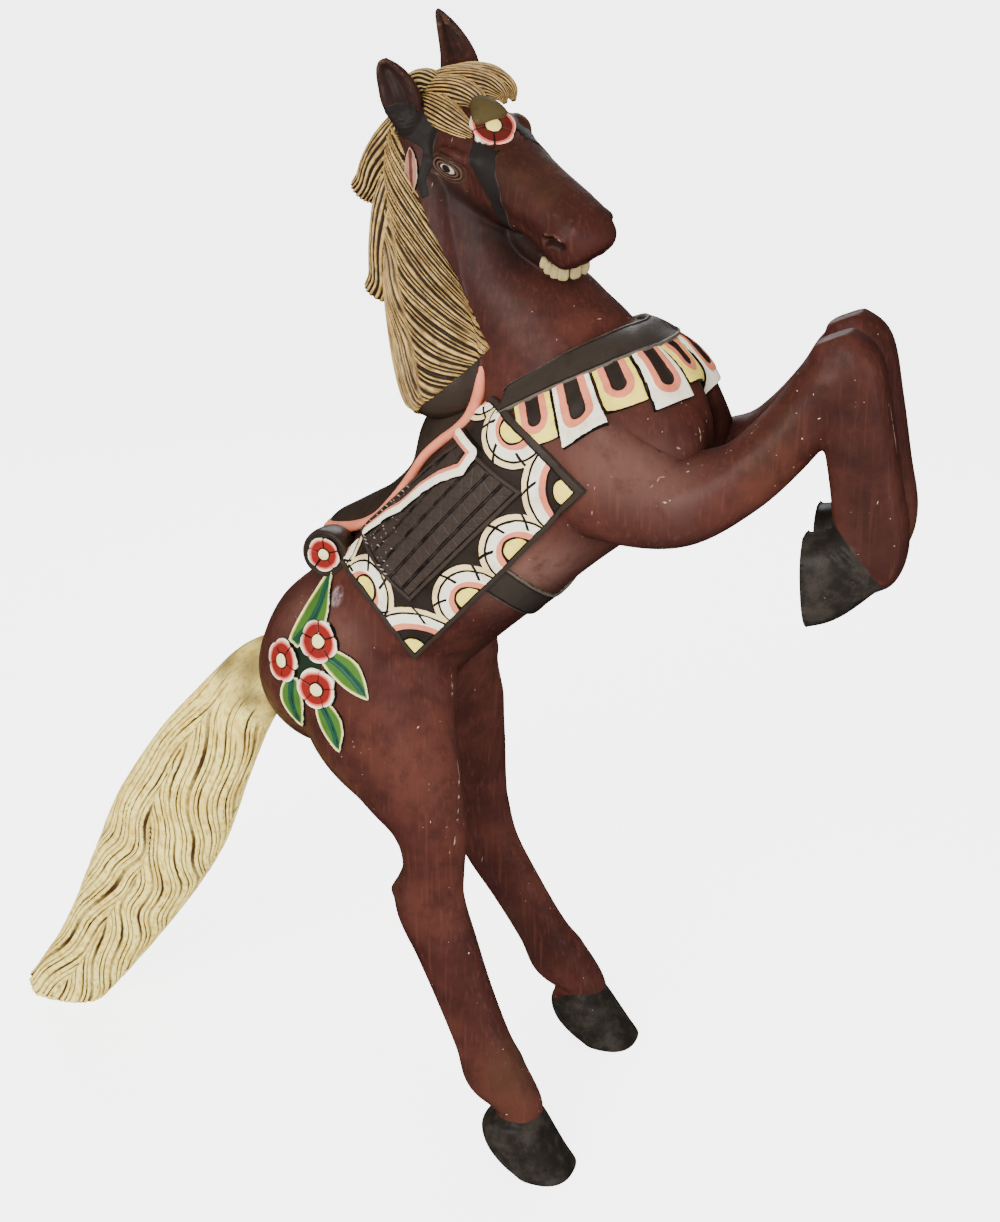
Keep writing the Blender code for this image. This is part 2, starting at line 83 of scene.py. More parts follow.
floor_paper = bpy.data.materials.new("floor_paper")
paper_tree, paper_shader, paper_add = nodes_for(floor_paper)
paper_grain = paper_add("TexNoise", Scale=3.0, Detail=2.0)
paper_tone = paper_add("ValToRGB", i0=paper_grain.outputs["Fac"])
for stop, level in zip(paper_tone.color_ramp.elements, (0.86, 0.90)):
    stop.color = grey(level)
plug(paper_tree, paper_shader, Base_Color=paper_tone.outputs["Color"], Roughness=0.9,
     Specular_IOR_Level=0.1, Emission_Color=grey(1), Emission_Strength=4.0)
floor_sheet = bpy.data.meshes.new("studio_floor")
floor_reach = 150.0
floor_corners = ((-1, -1), (1, -1), (1, 1), (-1, 1))
floor_sheet.from_pydata([(x * floor_reach, y * floor_reach, 0) for x, y in floor_corners], [], [(0, 1, 2, 3)])
floor_sheet.materials.append(floor_paper)
studio_floor = bpy.data.objects.new("studio_floor", floor_sheet)
bpy.context.scene.collection.objects.link(studio_floor)
studio_floor.visible_glossy = False
studio_floor.visible_diffuse = False

look_at = Vector((0.107, 0.0, 0.605))
camera_turn = math.radians(20.5)
camera_height = math.radians(19.2)
camera_distance = 2.1
toward_camera = Vector((
    math.sin(camera_turn) * math.cos(camera_height),
    -math.cos(camera_turn) * math.cos(camera_height),
    math.sin(camera_height)))


def aimed(name, data, place, target):
    """An object at a place, with its own -Z axis turned to a target."""
    obj = bpy.data.objects.new(name, data)
    obj.location = place
    obj.rotation_euler = (Vector(target) - Vector(place)).to_track_quat("-Z", "Y").to_euler()
    bpy.context.scene.collection.objects.link(obj)
    return obj


camera_data = bpy.data.cameras.new("studio_camera")
camera_data.lens = 55.62
camera_data.sensor_width = 36.0
camera_data.clip_end = 400.0
bpy.context.scene.camera = aimed(
    "studio_camera", camera_data, look_at + camera_distance * toward_camera, look_at)


def soft_lamp(name, place, width, power):
    """A square lamp of a given width, aimed at the middle of the horse."""
    lamp = bpy.data.lights.new(name, "AREA")
    lamp.size = width
    lamp.energy = power
    aimed(name, lamp, place, (0.05, 0, 0.65))


soft_lamp("key_lamp", (0.0, -2.7, 2.0), 1.6, 118)
soft_lamp("fill_lamp", (2.6, -1.6, 1.4), 2.0, 36)
soft_lamp("back_lamp", (-0.8, 2.4, 2.4), 2.0, 60)
# The air is bright at the horizon, to meet the floor, and dimmer overhead and underfoot: each stop
# is the height, from 0 underfoot to 1 overhead, and the grey there
air_stops = ((0.44, 0.44), (0.49, 1.0), (0.515, 0.95), (0.57, 0.34), (0.75, 0.19))
studio_air = bpy.data.worlds.new("studio_air")
studio_air.use_nodes = True
air_tree = studio_air.node_tree
air_add = node_maker(air_tree)
air_height = air_add("SeparateXYZ", i0=air_add("TexCoord").outputs["Generated"])
air_share = air_add("MapRange", Value=air_height.outputs["Z"], From_Min=-1.0)
air_tone = air_add("ValToRGB", i0=air_share.outputs[0])
stops = air_tone.color_ramp.elements
for number, (share, level) in enumerate(air_stops):
    stop = stops[number] if number < 2 else stops.new(share)
    stop.position = share
    stop.color = grey(level)
plug(air_tree, air_tree.nodes["Background"], Color=air_tone.outputs["Color"], Strength=4.2)
studio_air.cycles_visibility.glossy = False
bpy.context.scene.world = studio_air


# ---- The carved body --------------------------------------------------------------------------
# Trunk, neck, head and legs are carved from glued blocks of wood, rasped to one skin and stained
# a reddish brown under varnish.  The stations are in the stance frame: its origin lies on the
# ground between the hind hooves, +X is where the horse faces and +Y is its left.

stance = np.array([0.214, 0.0, 0.0])
trunk_middle = np.array([-0.100, 0.0, 0.700])
trunk_pitch = math.radians(47)
poll = np.array([-0.170, 0.0, 1.153])
head_forward = np.array([0.835, -0.361, -0.415])
head_up = np.array([0.234, -0.450, 0.862])
head_left = np.cross(head_up, head_forward)
to_left = np.array([0.0, 1.0, 0.0])


def unit(vectors):
    """Vectors divided by their own lengths."""
    vectors = np.asarray(vectors, float)
    return vectors / np.maximum(np.linalg.norm(vectors, axis=-1, keepdims=True), 1e-12)


def eased(values, low, high):
    """0 below low, 1 above high, and 3t^2 - 2t^3 between them."""
    share = np.clip((np.asarray(values, float) - low) / (high - low), 0, 1)
    return share * share * (3 - 2 * share)


def along_curve(rows, steps):
    """Rows carried along the Catmull-Rom curve through all of them, so many to each span."""
    rows = np.array(rows, float)
    padded = np.vstack([2 * rows[0] - rows[1], rows, 2 * rows[-1] - rows[-2]])
    t = (np.arange(steps) / steps)[None, :, None]
    a, b, c, d = (padded[i:len(padded) - 3 + i, None] for i in range(4))
    span = b + 0.5 * ((c - a) * t + (2 * a - 5 * b + 4 * c - d) * t**2 + (3 * b - a - 3 * c + d) * t**3)
    return np.vstack([span.reshape(-1, rows.shape[1]), rows[-1:]])


def oval_loft(rows, left=to_left, level=None, squareness=2.0, steps=10, around=72):
    """Ovals across a spine: point = spine + left * width * cos' + up * depth * sin', where cos' and
    sin' are raised to 2 / squareness.  Rows are x, y, z, half depth, half width."""
    samples = along_curve(rows, steps)
    spine = samples[:, :3]
    forward = unit(np.gradient(spine, axis=0))
    if level is not None:
        forward = np.tile(unit(level), (len(spine), 1))
    side = unit(left - forward * (forward @ left)[:, None])
    upward = np.cross(forward, side)
    turn = np.linspace(0, 2 * math.pi, around, endpoint=False)
    across = np.sign(np.cos(turn)) * np.abs(np.cos(turn)) ** (2 / squareness)
    over = np.sign(np.sin(turn)) * np.abs(np.sin(turn)) ** (2 / squareness)
    return (spine[:, None]
            + side[:, None] * (samples[:, 4, None] * across)[:, :, None]
            + upward[:, None] * (samples[:, 3, None] * over)[:, :, None])


def tube_faces(rows, columns):
    """Squares round a tube of rings, each ring's last point joined to its first."""
    ring, step = np.meshgrid(np.arange(rows - 1), np.arange(columns), indexing="ij")
    following = (step + 1) % columns
    low, high = ring * columns, (ring + 1) * columns
    return np.stack([low + step, low + following, high + following, high + step], -1).reshape(-1, 4)


def closed_tube(grid):
    """A tube of rings whose two ends are drawn in to a point: the points, the squares, the triangles."""
    rows, columns = grid.shape[:2]
    step = np.arange(columns)
    following = (step + 1) % columns
    first, last, end = rows * columns, rows * columns + 1, (rows - 1) * columns
    points = np.vstack([grid.reshape(-1, 3), grid[0].mean(0), grid[-1].mean(0)])
    triangles = np.vstack([
        np.stack([np.full(columns, first), following, step], -1),
        np.stack([np.full(columns, last), end + step, end + following], -1)])
    return points, tube_faces(rows, columns), triangles


def new_piece(name, points, squares, triangles=()):
    """A mesh object at the origin, from arrays of points, of squares and of triangles."""
    mesh = bpy.data.meshes.new(name)
    squares = np.asarray(squares, np.int32).reshape(-1, 4)
    triangles = np.asarray(triangles, np.int32).reshape(-1, 3)
    corners = np.concatenate([squares.ravel(), triangles.ravel()])
    sizes = np.concatenate([np.full(len(squares), 4), np.full(len(triangles), 3)])
    starts = np.concatenate([[0], np.cumsum(sizes)[:-1]]).astype(np.int32)
    mesh.vertices.add(len(points))
    mesh.vertices.foreach_set("co", np.ascontiguousarray(points, np.float32).ravel())
    mesh.loops.add(len(corners))
    mesh.loops.foreach_set("vertex_index", corners)
    mesh.polygons.add(len(sizes))
    mesh.polygons.foreach_set("loop_start", starts)
    mesh.update(calc_edges=True)
    mesh.shade_smooth()
    obj = bpy.data.objects.new(name, mesh)
    bpy.context.scene.collection.objects.link(obj)
    return obj


def settle(obj):
    """Applies the modifiers of an object."""
    graph = bpy.context.evaluated_depsgraph_get()
    mesh = bpy.data.meshes.new_from_object(obj.evaluated_get(graph))
    obj.modifiers.clear()
    obj.vertex_groups.clear()
    obj.data = mesh


def points_of(obj):
    """The object's points and the normals at them."""
    count = len(obj.data.vertices)
    points = np.empty(count * 3, np.float32)
    obj.data.vertices.foreach_get("co", points)
    normals = np.empty(count * 3, np.float32)
    obj.data.vertex_normals.foreach_get("vector", normals)
    return points.reshape(-1, 3).astype(float), normals.reshape(-1, 3).astype(float)


def trunk_point(along, over, across=0.0):
    """A place on the trunk: along it to the head, over it to the back, and to its left."""
    cosine, sine = math.cos(trunk_pitch), math.sin(trunk_pitch)
    along, over, across = np.broadcast_arrays(along, over, across)
    return trunk_middle + np.stack(
        [along * cosine - over * sine, across, along * sine + over * cosine], -1)


def head_point(along, up, left=0.0):
    """A place on the head: along it to the nose, up from the brow, and to its left."""
    along, up, left = (np.asarray(v, float)[..., None] for v in (along, up, left))
    return poll + along * head_forward + up * head_up + left * head_left


def trunk_rows(rows):
    """Rows of along, over, half depth, half width as rows of a loft."""
    return [(*trunk_point(r[0], r[1]), r[2], r[3]) for r in rows]


def head_rows(rows):
    """Rows of along, up, left, half depth, half width as rows of a loft."""
    return [(*head_point(r[0], r[1], r[2]), r[3], r[4]) for r in rows]


trunk_block = trunk_rows([
    (-0.355, 0.009, 0.020, 0.030), (-0.339, 0.012, 0.055, 0.070), (-0.298, 0.017, 0.092, 0.110),
    (-0.240, 0.018, 0.109, 0.132), (-0.170, 0.021, 0.098, 0.130), (-0.090, 0.017, 0.096, 0.130),
    (0.000, 0.013, 0.101, 0.135), (0.080, 0.012, 0.108, 0.135), (0.155, 0.005, 0.111, 0.128),
    (0.218, -0.008, 0.100, 0.110), (0.262, -0.014, 0.072, 0.082), (0.284, -0.016, 0.030, 0.040)])
neck_block = [
    (-0.040, 0.0, 0.800, 0.115, 0.100), (-0.048, 0.0, 0.860, 0.118, 0.094),
    (-0.078, 0.0, 0.915, 0.098, 0.080), (-0.122, 0.0, 0.978, 0.073, 0.066),
    (-0.142, 0.0, 1.045, 0.064, 0.054), (-0.150, 0.0, 1.105, 0.054, 0.046)]
mane_block = [
    (-0.170, 0.0, 1.150, 0.040, 0.040), (-0.178, 0.0, 1.105, 0.046, 0.052),
    (-0.172, 0.0, 1.035, 0.054, 0.064), (-0.158, 0.0, 0.965, 0.064, 0.078),
    (-0.142, 0.0, 0.900, 0.068, 0.092), (-0.135, 0.0, 0.855, 0.058, 0.094),
    (-0.130, 0.0, 0.835, 0.030, 0.060)]
skull_block = head_rows([
    (-0.034, -0.045, 0, 0.020, 0.025), (-0.010, -0.044, 0, 0.042, 0.044),
    (0.030, -0.042, 0, 0.054, 0.053), (0.065, -0.040, 0, 0.054, 0.054),
    (0.105, -0.035, 0, 0.045, 0.045), (0.150, -0.031, 0, 0.035, 0.037),
    (0.186, -0.032, 0, 0.031, 0.036), (0.208, -0.0385, 0, 0.0355, 0.036),
    (0.224, -0.0435, 0, 0.033, 0.033), (0.232, -0.047, 0, 0.029, 0.029),
    (0.237, -0.050, 0, 0.018, 0.021)])
jaw_block = head_rows([
    (-0.005, -0.080, 0, 0.025, 0.030), (0.035, -0.088, 0, 0.038, 0.041),
    (0.075, -0.084, 0, 0.035, 0.040), (0.120, -0.078, 0, 0.022, 0.030),
    (0.170, -0.080, 0, 0.014, 0.024), (0.205, -0.082, 0, 0.012, 0.022),
    (0.217, -0.082, 0, 0.006, 0.012)])
saddle_block = trunk_rows([
    (0.120, 0.072, 0.036, 0.066), (0.080, 0.074, 0.048, 0.080), (0.035, 0.072, 0.050, 0.082),
    (0.005, 0.064, 0.045, 0.080), (-0.060, 0.054, 0.042, 0.072), (-0.100, 0.058, 0.042, 0.056),
    (-0.125, 0.070, 0.040, 0.042), (-0.140, 0.080, 0.030, 0.026), (-0.150, 0.086, 0.012, 0.012)])
forearm_block = [
    (-0.010, -0.070, 0.834, 0.080, 0.052), (0.045, -0.085, 0.790, 0.062, 0.052),
    (0.114, -0.083, 0.770, 0.041, 0.045), (0.170, -0.074, 0.799, 0.036, 0.041),
    (0.209, -0.066, 0.836, 0.034, 0.038), (0.241, -0.060, 0.877, 0.033, 0.036),
    (0.262, -0.056, 0.908, 0.035, 0.036), (0.272, -0.055, 0.930, 0.026, 0.027)]
fore_shank_block = [
    (0.257, -0.055, 0.949, 0.019, 0.024), (0.269, -0.055, 0.919, 0.037, 0.034),
    (0.286, -0.055, 0.860, 0.035, 0.031), (0.298, -0.055, 0.800, 0.035, 0.028),
    (0.306, -0.055, 0.750, 0.037, 0.029), (0.306, -0.055, 0.715, 0.030, 0.028),
    (0.304, -0.055, 0.698, 0.013, 0.014)]
fore_hoof_block = [
    (0.322, -0.055, 0.745, 0.026, 0.025), (0.303, -0.055, 0.732, 0.034, 0.031),
    (0.275, -0.055, 0.714, 0.042, 0.036), (0.254, -0.055, 0.703, 0.047, 0.038),
    (0.238, -0.055, 0.700, 0.050, 0.038), (0.226, -0.055, 0.699, 0.050, 0.038)]
right_hind_block = [
    (-0.235, -0.065, 0.585, 0.092, 0.062), (-0.215, -0.085, 0.500, 0.094, 0.058),
    (-0.174, -0.105, 0.437, 0.064, 0.050), (-0.147, -0.115, 0.390, 0.044, 0.042),
    (-0.141, -0.122, 0.340, 0.036, 0.034), (-0.143, -0.126, 0.300, 0.041, 0.032),
    (-0.122, -0.130, 0.250, 0.037, 0.029), (-0.100, -0.135, 0.200, 0.034, 0.026),
    (-0.075, -0.140, 0.145, 0.033, 0.026), (-0.060, -0.142, 0.112, 0.037, 0.030),
    (-0.040, -0.143, 0.090, 0.029, 0.028), (-0.029, -0.143, 0.072, 0.0255, 0.027),
    (-0.030, -0.143, 0.050, 0.026, 0.027)]
right_hind_hoof_block = [
    (-0.0345, -0.143, 0.063, 0.031, 0.033), (-0.035, -0.143, 0.052, 0.037, 0.038),
    (-0.0255, -0.143, 0.030, 0.0405, 0.040), (-0.012, -0.143, 0.012, 0.038, 0.040),
    (0.0015, -0.143, 0.000, 0.0335, 0.039), (0.013, -0.143, -0.014, 0.031, 0.037),
    (0.030, -0.143, -0.032, 0.028, 0.034)]
left_hind_block = [
    (-0.235, 0.065, 0.585, 0.092, 0.062), (-0.232, 0.085, 0.500, 0.092, 0.058),
    (-0.206, 0.105, 0.435, 0.068, 0.050), (-0.190, 0.115, 0.390, 0.046, 0.042),
    (-0.184, 0.122, 0.340, 0.038, 0.034), (-0.184, 0.127, 0.300, 0.041, 0.032),
    (-0.168, 0.130, 0.250, 0.037, 0.029), (-0.136, 0.134, 0.195, 0.033, 0.026),
    (-0.102, 0.138, 0.138, 0.032, 0.026), (-0.082, 0.141, 0.105, 0.037, 0.030),
    (-0.058, 0.143, 0.082, 0.030, 0.028), (-0.045, 0.143, 0.066, 0.0255, 0.027),
    (-0.042, 0.143, 0.045, 0.026, 0.027)]
left_hind_hoof_block = [
    (-0.051, 0.143, 0.060, 0.032, 0.033), (-0.050, 0.143, 0.049, 0.038, 0.038),
    (-0.039, 0.143, 0.028, 0.042, 0.040), (-0.024, 0.143, 0.011, 0.039, 0.040),
    (-0.011, 0.143, 0.000, 0.0345, 0.039), (0.001, 0.143, -0.014, 0.031, 0.037),
    (0.018, 0.143, -0.032, 0.028, 0.034)]


# Each ear from its root to its tip; the left one is pricked higher and hooks back
right_ear_block = head_rows([
    (0.004, -0.024, -0.040, 0.014, 0.013), (0.003, -0.005, -0.048, 0.016, 0.0135),
    (-0.001, 0.010, -0.050, 0.016, 0.0190), (-0.008, 0.022, -0.051, 0.015, 0.0205),
    (-0.017, 0.034, -0.052, 0.012, 0.0180), (-0.026, 0.0465, -0.055, 0.008, 0.0125),
    (-0.0325, 0.0545, -0.055, 0.004, 0.0055)])
left_ear_block = head_rows([
    (-0.012, -0.012, 0.038, 0.014, 0.020), (-0.025, 0.005, 0.045, 0.014, 0.0215),
    (-0.037, 0.014, 0.051, 0.013, 0.0195), (-0.051, 0.023, 0.055, 0.011, 0.0160),
    (-0.068, 0.033, 0.058, 0.009, 0.0105), (-0.084, 0.0435, 0.059, 0.004, 0.0035)])
across_ears = np.array([0.93, 0.36, 0.0])


def brow_block(side):
    """The bone over an eye."""
    return head_rows([
        (0.050, -0.010, side * 0.044, 0.003, 0.004), (0.062, -0.007, side * 0.046, 0.006, 0.007),
        (0.078, -0.006, side * 0.044, 0.006, 0.007), (0.092, -0.010, side * 0.039, 0.003, 0.004)])


def left_of(rows):
    """A right foreleg's rows as the left foreleg's, which is held a little further back."""
    return [(x - 0.009, -y, z, depth, width) for x, y, z, depth, width in rows]


blocks = [
    oval_loft(trunk_block, squareness=2.2), oval_loft(neck_block), oval_loft(mane_block, squareness=2.3),
    oval_loft(skull_block, left=head_left, squareness=2.5), oval_loft(jaw_block, left=head_left),
    oval_loft(saddle_block, squareness=2.6),
    oval_loft(right_hind_block), oval_loft(left_hind_block),
    oval_loft(right_hind_hoof_block, level=(0, 0, 1), squareness=2.5),
    oval_loft(left_hind_hoof_block, level=(0, 0, 1), squareness=2.5)]
blocks += [oval_loft(brow_block(side), left=head_left) for side in (-1, 1)]
blocks += [oval_loft(ear, left=across_ears) for ear in (right_ear_block, left_ear_block)]
blocks += [oval_loft(placed(block), squareness=corners)
           for block, corners in ((forearm_block, 2.3), (fore_shank_block, 3.2), (fore_hoof_block, 2.4))
           for placed in (list, left_of)]


def glued(name, grids):
    """All the closed tubes as one mesh, in the frame of the whole object."""
    shells = [closed_tube(grid) for grid in grids]
    starts = np.cumsum([0] + [len(shell[0]) for shell in shells[:-1]])
    return new_piece(
        name,
        np.vstack([shell[0] for shell in shells]) + stance,
        np.vstack([shell[1] + start for shell, start in zip(shells, starts)]),
        np.vstack([shell[2] + start for shell, start in zip(shells, starts)]))


body = glued("carved_body", blocks)
rasp = body.modifiers.new("rasp", "REMESH")
rasp.mode = "VOXEL"
rasp.voxel_size = 0.0021
settle(body)
# The body is sanded well, and the head, up to 0.13 m from its middle, a tenth as much
from_head = np.linalg.norm(points_of(body)[0] - stance - head_point(0.11, -0.05), axis=1)
sanded = 0.1 + 0.9 * eased(from_head, 0.13, 0.19)
sanded_group = body.vertex_groups.new(name="sanded")
for tenths in range(11):
    chosen = np.nonzero(np.round(sanded * 10) == tenths)[0]
    sanded_group.add(chosen.tolist(), tenths / 10, "REPLACE")
sanding = body.modifiers.new("sanding", "SMOOTH")
sanding.iterations = 40
sanding.vertex_group = "sanded"
settle(body)


def path_gap(points, path):
    """The distance from places to a path of straight spans."""
    path = np.asarray(path, float)
    best = np.full(len(points), 9.0)
    for start, span in zip(path, np.diff(path, axis=0)):
        share = np.clip((points - start) @ span / (span @ span), 0, 1)
        best = np.minimum(best, np.linalg.norm(points - start - share[:, None] * span, axis=1))
    return best


def ridge(path, radius):
    """A swelling along a path: exp(-(gap / radius)^2)."""
    return np.exp(-(path_gap(spots, path) / radius) ** 2)


def head_path(side, places):
    """A path on one side of the head, from places along it, up from the brow and off its middle."""
    return [head_point(along, up, side * off) for along, up, off in places]


spots, outward = points_of(body)
spots = spots - stance
carved = np.zeros(len(spots))
# The cleft between the forearms, and the hollow under the breast
cleft = [(0.130, 0.004, 0.876), (0.134, 0.004, 0.835), (0.130, 0.003, 0.790), (0.108, 0, 0.755)]
carved -= 0.026 * ridge(cleft, 0.014)
# Hollows and ridges of the face, the same on both sides: how far each rises, its radius, its path
eye_fold = [(0.044, -0.020, 0.058), (0.052, -0.009, 0.056), (0.068, -0.006, 0.054), (0.086, -0.014, 0.048)]
face_carving = [
    (-0.0040, 0.0120, [(0.060, -0.026, 0.056), (0.092, -0.024, 0.046)]),
    (0.0016, 0.0060, [(0.045, -0.008, 0.056), (0.066, 0.000, 0.052), (0.094, -0.004, 0.036)]),
    (-0.0024, 0.0030, eye_fold),
    (0.0022, 0.0060, [(0.142, -0.022, 0.040), (0.190, -0.020, 0.036)]),
    (-0.0022, 0.0080, [(0.146, -0.040, 0.038), (0.190, -0.042, 0.036)]),
    (0.0016, 0.0040, [(0.066, -0.056, 0.064), (0.100, -0.066, 0.052), (0.140, -0.070, 0.030),
                      (0.180, -0.072, 0.022)]),
    (-0.0100, 0.0034, [(0.201, -0.036, 0.038), (0.211, -0.030, 0.037), (0.222, -0.031, 0.033)]),
    (0.0034, 0.0030, [(0.202, -0.026, 0.037), (0.212, -0.0215, 0.036), (0.223, -0.024, 0.031)]),
    (-0.0060, 0.0050, [(0.184, -0.070, 0.030), (0.206, -0.068, 0.026), (0.230, -0.066, 0.010)])]
for side in (-1, 1):
    for rise, radius, places in face_carving:
        carved += rise * ridge(head_path(side, places), radius)
# The nose ends in a crisp edge above
carved += 0.0040 * ridge([head_point(0.226, -0.020, -0.016), head_point(0.226, -0.018, 0.016)], 0.0070)
# The valley between breast and forearm is filled
for side in (-1, 1):
    valley = [(0.050, side * 0.118, 0.848), (0.081, side * 0.108, 0.832), (0.107, side * 0.083, 0.816),
              (0.124, side * 0.060, 0.822)]
    carved += 0.011 * ridge(valley, 0.024)
# The points of the hocks
for hock in ((-0.178, -0.134, 0.313), (-0.218, 0.134, 0.313)):
    hock = np.array(hock)
    carved += 0.0050 * ridge([hock, hock + 0.001], 0.0080)
    carved -= 0.0030 * ridge([hock + (0.006, 0, 0.030), hock + (0.010, 0, 0.050)], 0.0110)
# The hollow of each ear, open to the right and a little ahead
for block, facing in ((right_ear_block, (0.38, -0.92, 0.0)), (left_ear_block, (0.50, -0.86, 0.0))):
    stations = along_curve(block, 6)
    gaps = np.linalg.norm(spots[:, None] - stations[None, :, :3], axis=2)
    nearest = gaps.argmin(1)
    share = nearest / (len(stations) - 1)
    off = np.abs((spots - stations[nearest, :3]) @ across_ears) / stations[nearest, 4]
    hollow = eased(share, 0.16, 0.36) * (1 - eased(share, 0.84, 0.97)) * (1 - eased(off, 0.35, 0.88))
    hollow *= (gaps.min(1) < 0.035) * (outward @ unit(facing) > 0.1)
    carved -= 0.0095 * hollow
# The wrinkles above each fore hoof
for back, side in ((0.0, -1), (0.009, 1)):
    for step in range(3):
        top = np.array([0.283 - back - 0.006 * step, side * 0.086, 0.752 - 0.007 * step])
        foot = np.array([0.312 - back - 0.006 * step, side * 0.088, 0.727 - 0.007 * step])
        carved += 0.0018 * ridge([top, foot], 0.0024)
spots = spots + outward * carved[:, None]
# The soles of the fore hooves are sawn flat
for sole in ((0.2445, -0.055, 0.700), (0.2355, 0.055, 0.700)):
    sole_facing = unit((-0.996, 0, -0.086))
    beyond = (spots - sole) @ sole_facing
    under_sole = (beyond > 0) & (np.linalg.norm(spots - sole, axis=1) < 0.075)
    spots[under_sole] -= beyond[under_sole, None] * sole_facing
body.data.vertices.foreach_set("co", (spots + stance).astype(np.float32).ravel())


def cut_at_ground(obj, height=0.0004):
    """Saws a piece off level with the ground and closes the cut."""
    shape = bmesh.new()
    shape.from_mesh(obj.data)
    found = bmesh.ops.bisect_plane(
        shape, geom=shape.verts[:] + shape.edges[:] + shape.faces[:],
        plane_co=(0, 0, height), plane_no=(0, 0, 1), clear_inner=True)
    edges = [item for item in found["geom_cut"] if isinstance(item, bmesh.types.BMEdge)]
    bmesh.ops.triangle_fill(shape, edges=edges, use_beauty=True)
    bmesh.ops.recalc_face_normals(shape, faces=shape.faces)
    shape.to_mesh(obj.data)
    shape.free()
    obj.data.shade_smooth()


cut_at_ground(body)
most_faces = 190000
if len(body.data.polygons) * 2 > most_faces:
    thin = body.modifiers.new("thin", "DECIMATE")
    thin.ratio = most_faces / (len(body.data.polygons) * 2)
    settle(body)
body.data.shade_smooth()


def sum_over(values, owners, size):
    """The sum of the rows of values that belong to each owner."""
    return np.stack([np.bincount(owners, values[:, i], size) for i in range(values.shape[1])], 1)


def curvature(obj):
    """How much each point stands out from its neighbours, along its normal, in millimetres."""
    places, normals = points_of(obj)
    ends = np.empty(len(obj.data.edges) * 2, np.int32)
    obj.data.edges.foreach_get("vertices", ends)
    ends = ends.reshape(-1, 2)
    ends = np.vstack([ends, ends[:, ::-1]])
    count = np.bincount(ends[:, 0], minlength=len(places))[:, None]
    bend = sum_over(places[ends[:, 1]], ends[:, 0], len(places)) / count
    bend = ((places - bend) * normals).sum(1) * 1000
    for _ in range(6):
        beside = sum_over(bend[ends[:, 1]][:, None], ends[:, 0], len(places))[:, 0] / count[:, 0]
        bend = 0.5 * bend + 0.5 * beside
    return bend


spots, outward = points_of(body)
spots = spots - stance
worn_paths = [
    [(0.098, -0.126, 0.799), (0.106, -0.117, 0.809), (0.130, -0.102, 0.813)],
    [(0.102, -0.092, 0.844), (0.120, -0.082, 0.825), (0.127, -0.092, 0.818)],
    [(0.126, -0.055, 0.851), (0.131, -0.062, 0.835)], [(0.106, -0.129, 0.783), (0.118, -0.125, 0.788)],
    [(0.006, -0.048, 0.943), (0.017, -0.034, 0.946), (0.035, 0.000, 0.942)],
    [(0.300, -0.060, 0.930), (0.314, -0.062, 0.890), (0.324, -0.061, 0.848), (0.327, -0.064, 0.800),
     (0.328, -0.066, 0.765)],
    [(-0.134, -0.077, 0.572), (-0.130, -0.088, 0.540), (-0.122, -0.096, 0.495), (-0.116, -0.103, 0.450),
     (-0.110, -0.121, 0.422), (-0.109, -0.137, 0.380)],
    [(0.187, -0.091, 0.852), (0.204, -0.089, 0.874), (0.217, -0.086, 0.890)],
    [(0.126, -0.020, 0.880), (0.130, -0.040, 0.850), (0.133, -0.045, 0.826)],
    [(0.231, 0.037, 0.935), (0.241, 0.040, 0.943), (0.262, 0.030, 0.939)]]
worn_edge = np.min([path_gap(spots, path) for path in worn_paths], axis=0)
glue_path = [
    (-0.210, -0.148, 0.446), (-0.174, -0.145, 0.489), (-0.152, -0.130, 0.510), (-0.130, -0.092, 0.533)]
glue_line = path_gap(spots, glue_path)
scuff = np.linalg.norm((spots - (-0.252, -0.113, 0.641)) / (1.0, 1.0, 1.3), axis=1)
# Below these planes the legs are painted as hooves: a place on each coronet, and the way the hoof points
coronets = [
    ((-0.031, -0.143, 0.067), (0.22, 0, -1)), ((-0.045, 0.143, 0.063), (0.26, 0, -1)),
    ((0.296, -0.060, 0.738), (-0.76, -0.05, -0.64)), ((0.287, 0.060, 0.738), (-0.76, 0.05, -0.64))]
hoof = np.full(len(spots), -1.0)
for place, pointing in coronets:
    from_place = spots - np.array(place)
    beyond = from_place @ unit(pointing)
    reach = np.linalg.norm(from_place, axis=1)
    hoof = np.where(reach < 0.100, np.maximum(hoof, beyond), hoof)
# The paint of the hind hooves ends in a gentle curve
hoof -= 0.004 * np.cos(np.clip(spots[:, 0] * 60, -9, 9)) * (spots[:, 2] < 0.2)
# Painted shade: the stain is mixed nearly black in the creases, hollows, nostrils and mouth of the face and
# under the cheeks, and darker down the fore shanks, the front of the neck and the cleft of the breast; over
# the ears and the face it is partly their own darker stain.  Each path's radius and strength
shade_both_sides = [
    (0.0130, 0.90, [(0.060, -0.056, 0.055), (0.090, -0.062, 0.050), (0.120, -0.066, 0.040),
                    (0.150, -0.070, 0.032), (0.184, -0.076, 0.022)]),
    (0.0045, 1.00, [(0.202, -0.034, 0.036), (0.212, -0.031, 0.035), (0.222, -0.033, 0.033)]),
    (0.0060, 1.00, [(0.184, -0.072, 0.026), (0.206, -0.070, 0.022), (0.230, -0.068, 0.006)]),
    (0.0110, 0.80, [(0.104, 0.000, 0.038), (0.128, -0.020, 0.036), (0.140, -0.045, 0.034)]),
    (0.0160, 0.70, [(0.000, 0.000, 0.040), (0.030, -0.004, 0.048), (0.048, -0.030, 0.050)]),
    (0.0070, 0.90, [(0.205, -0.034, 0.034), (0.221, -0.032, 0.031)]),
    (0.0340, 0.95, [(0.010, -0.060, 0.045), (0.080, -0.075, 0.040), (0.150, -0.080, 0.025)]),
    (0.0045, 1.00, eye_fold),
    (0.0200, 0.85, [(0.052, -0.044, 0.057), (0.086, -0.046, 0.052), (0.118, -0.050, 0.042)]),
    (0.0300, 0.90, [(0.000, 0.000, 0.045), (0.004, 0.030, 0.052)])]
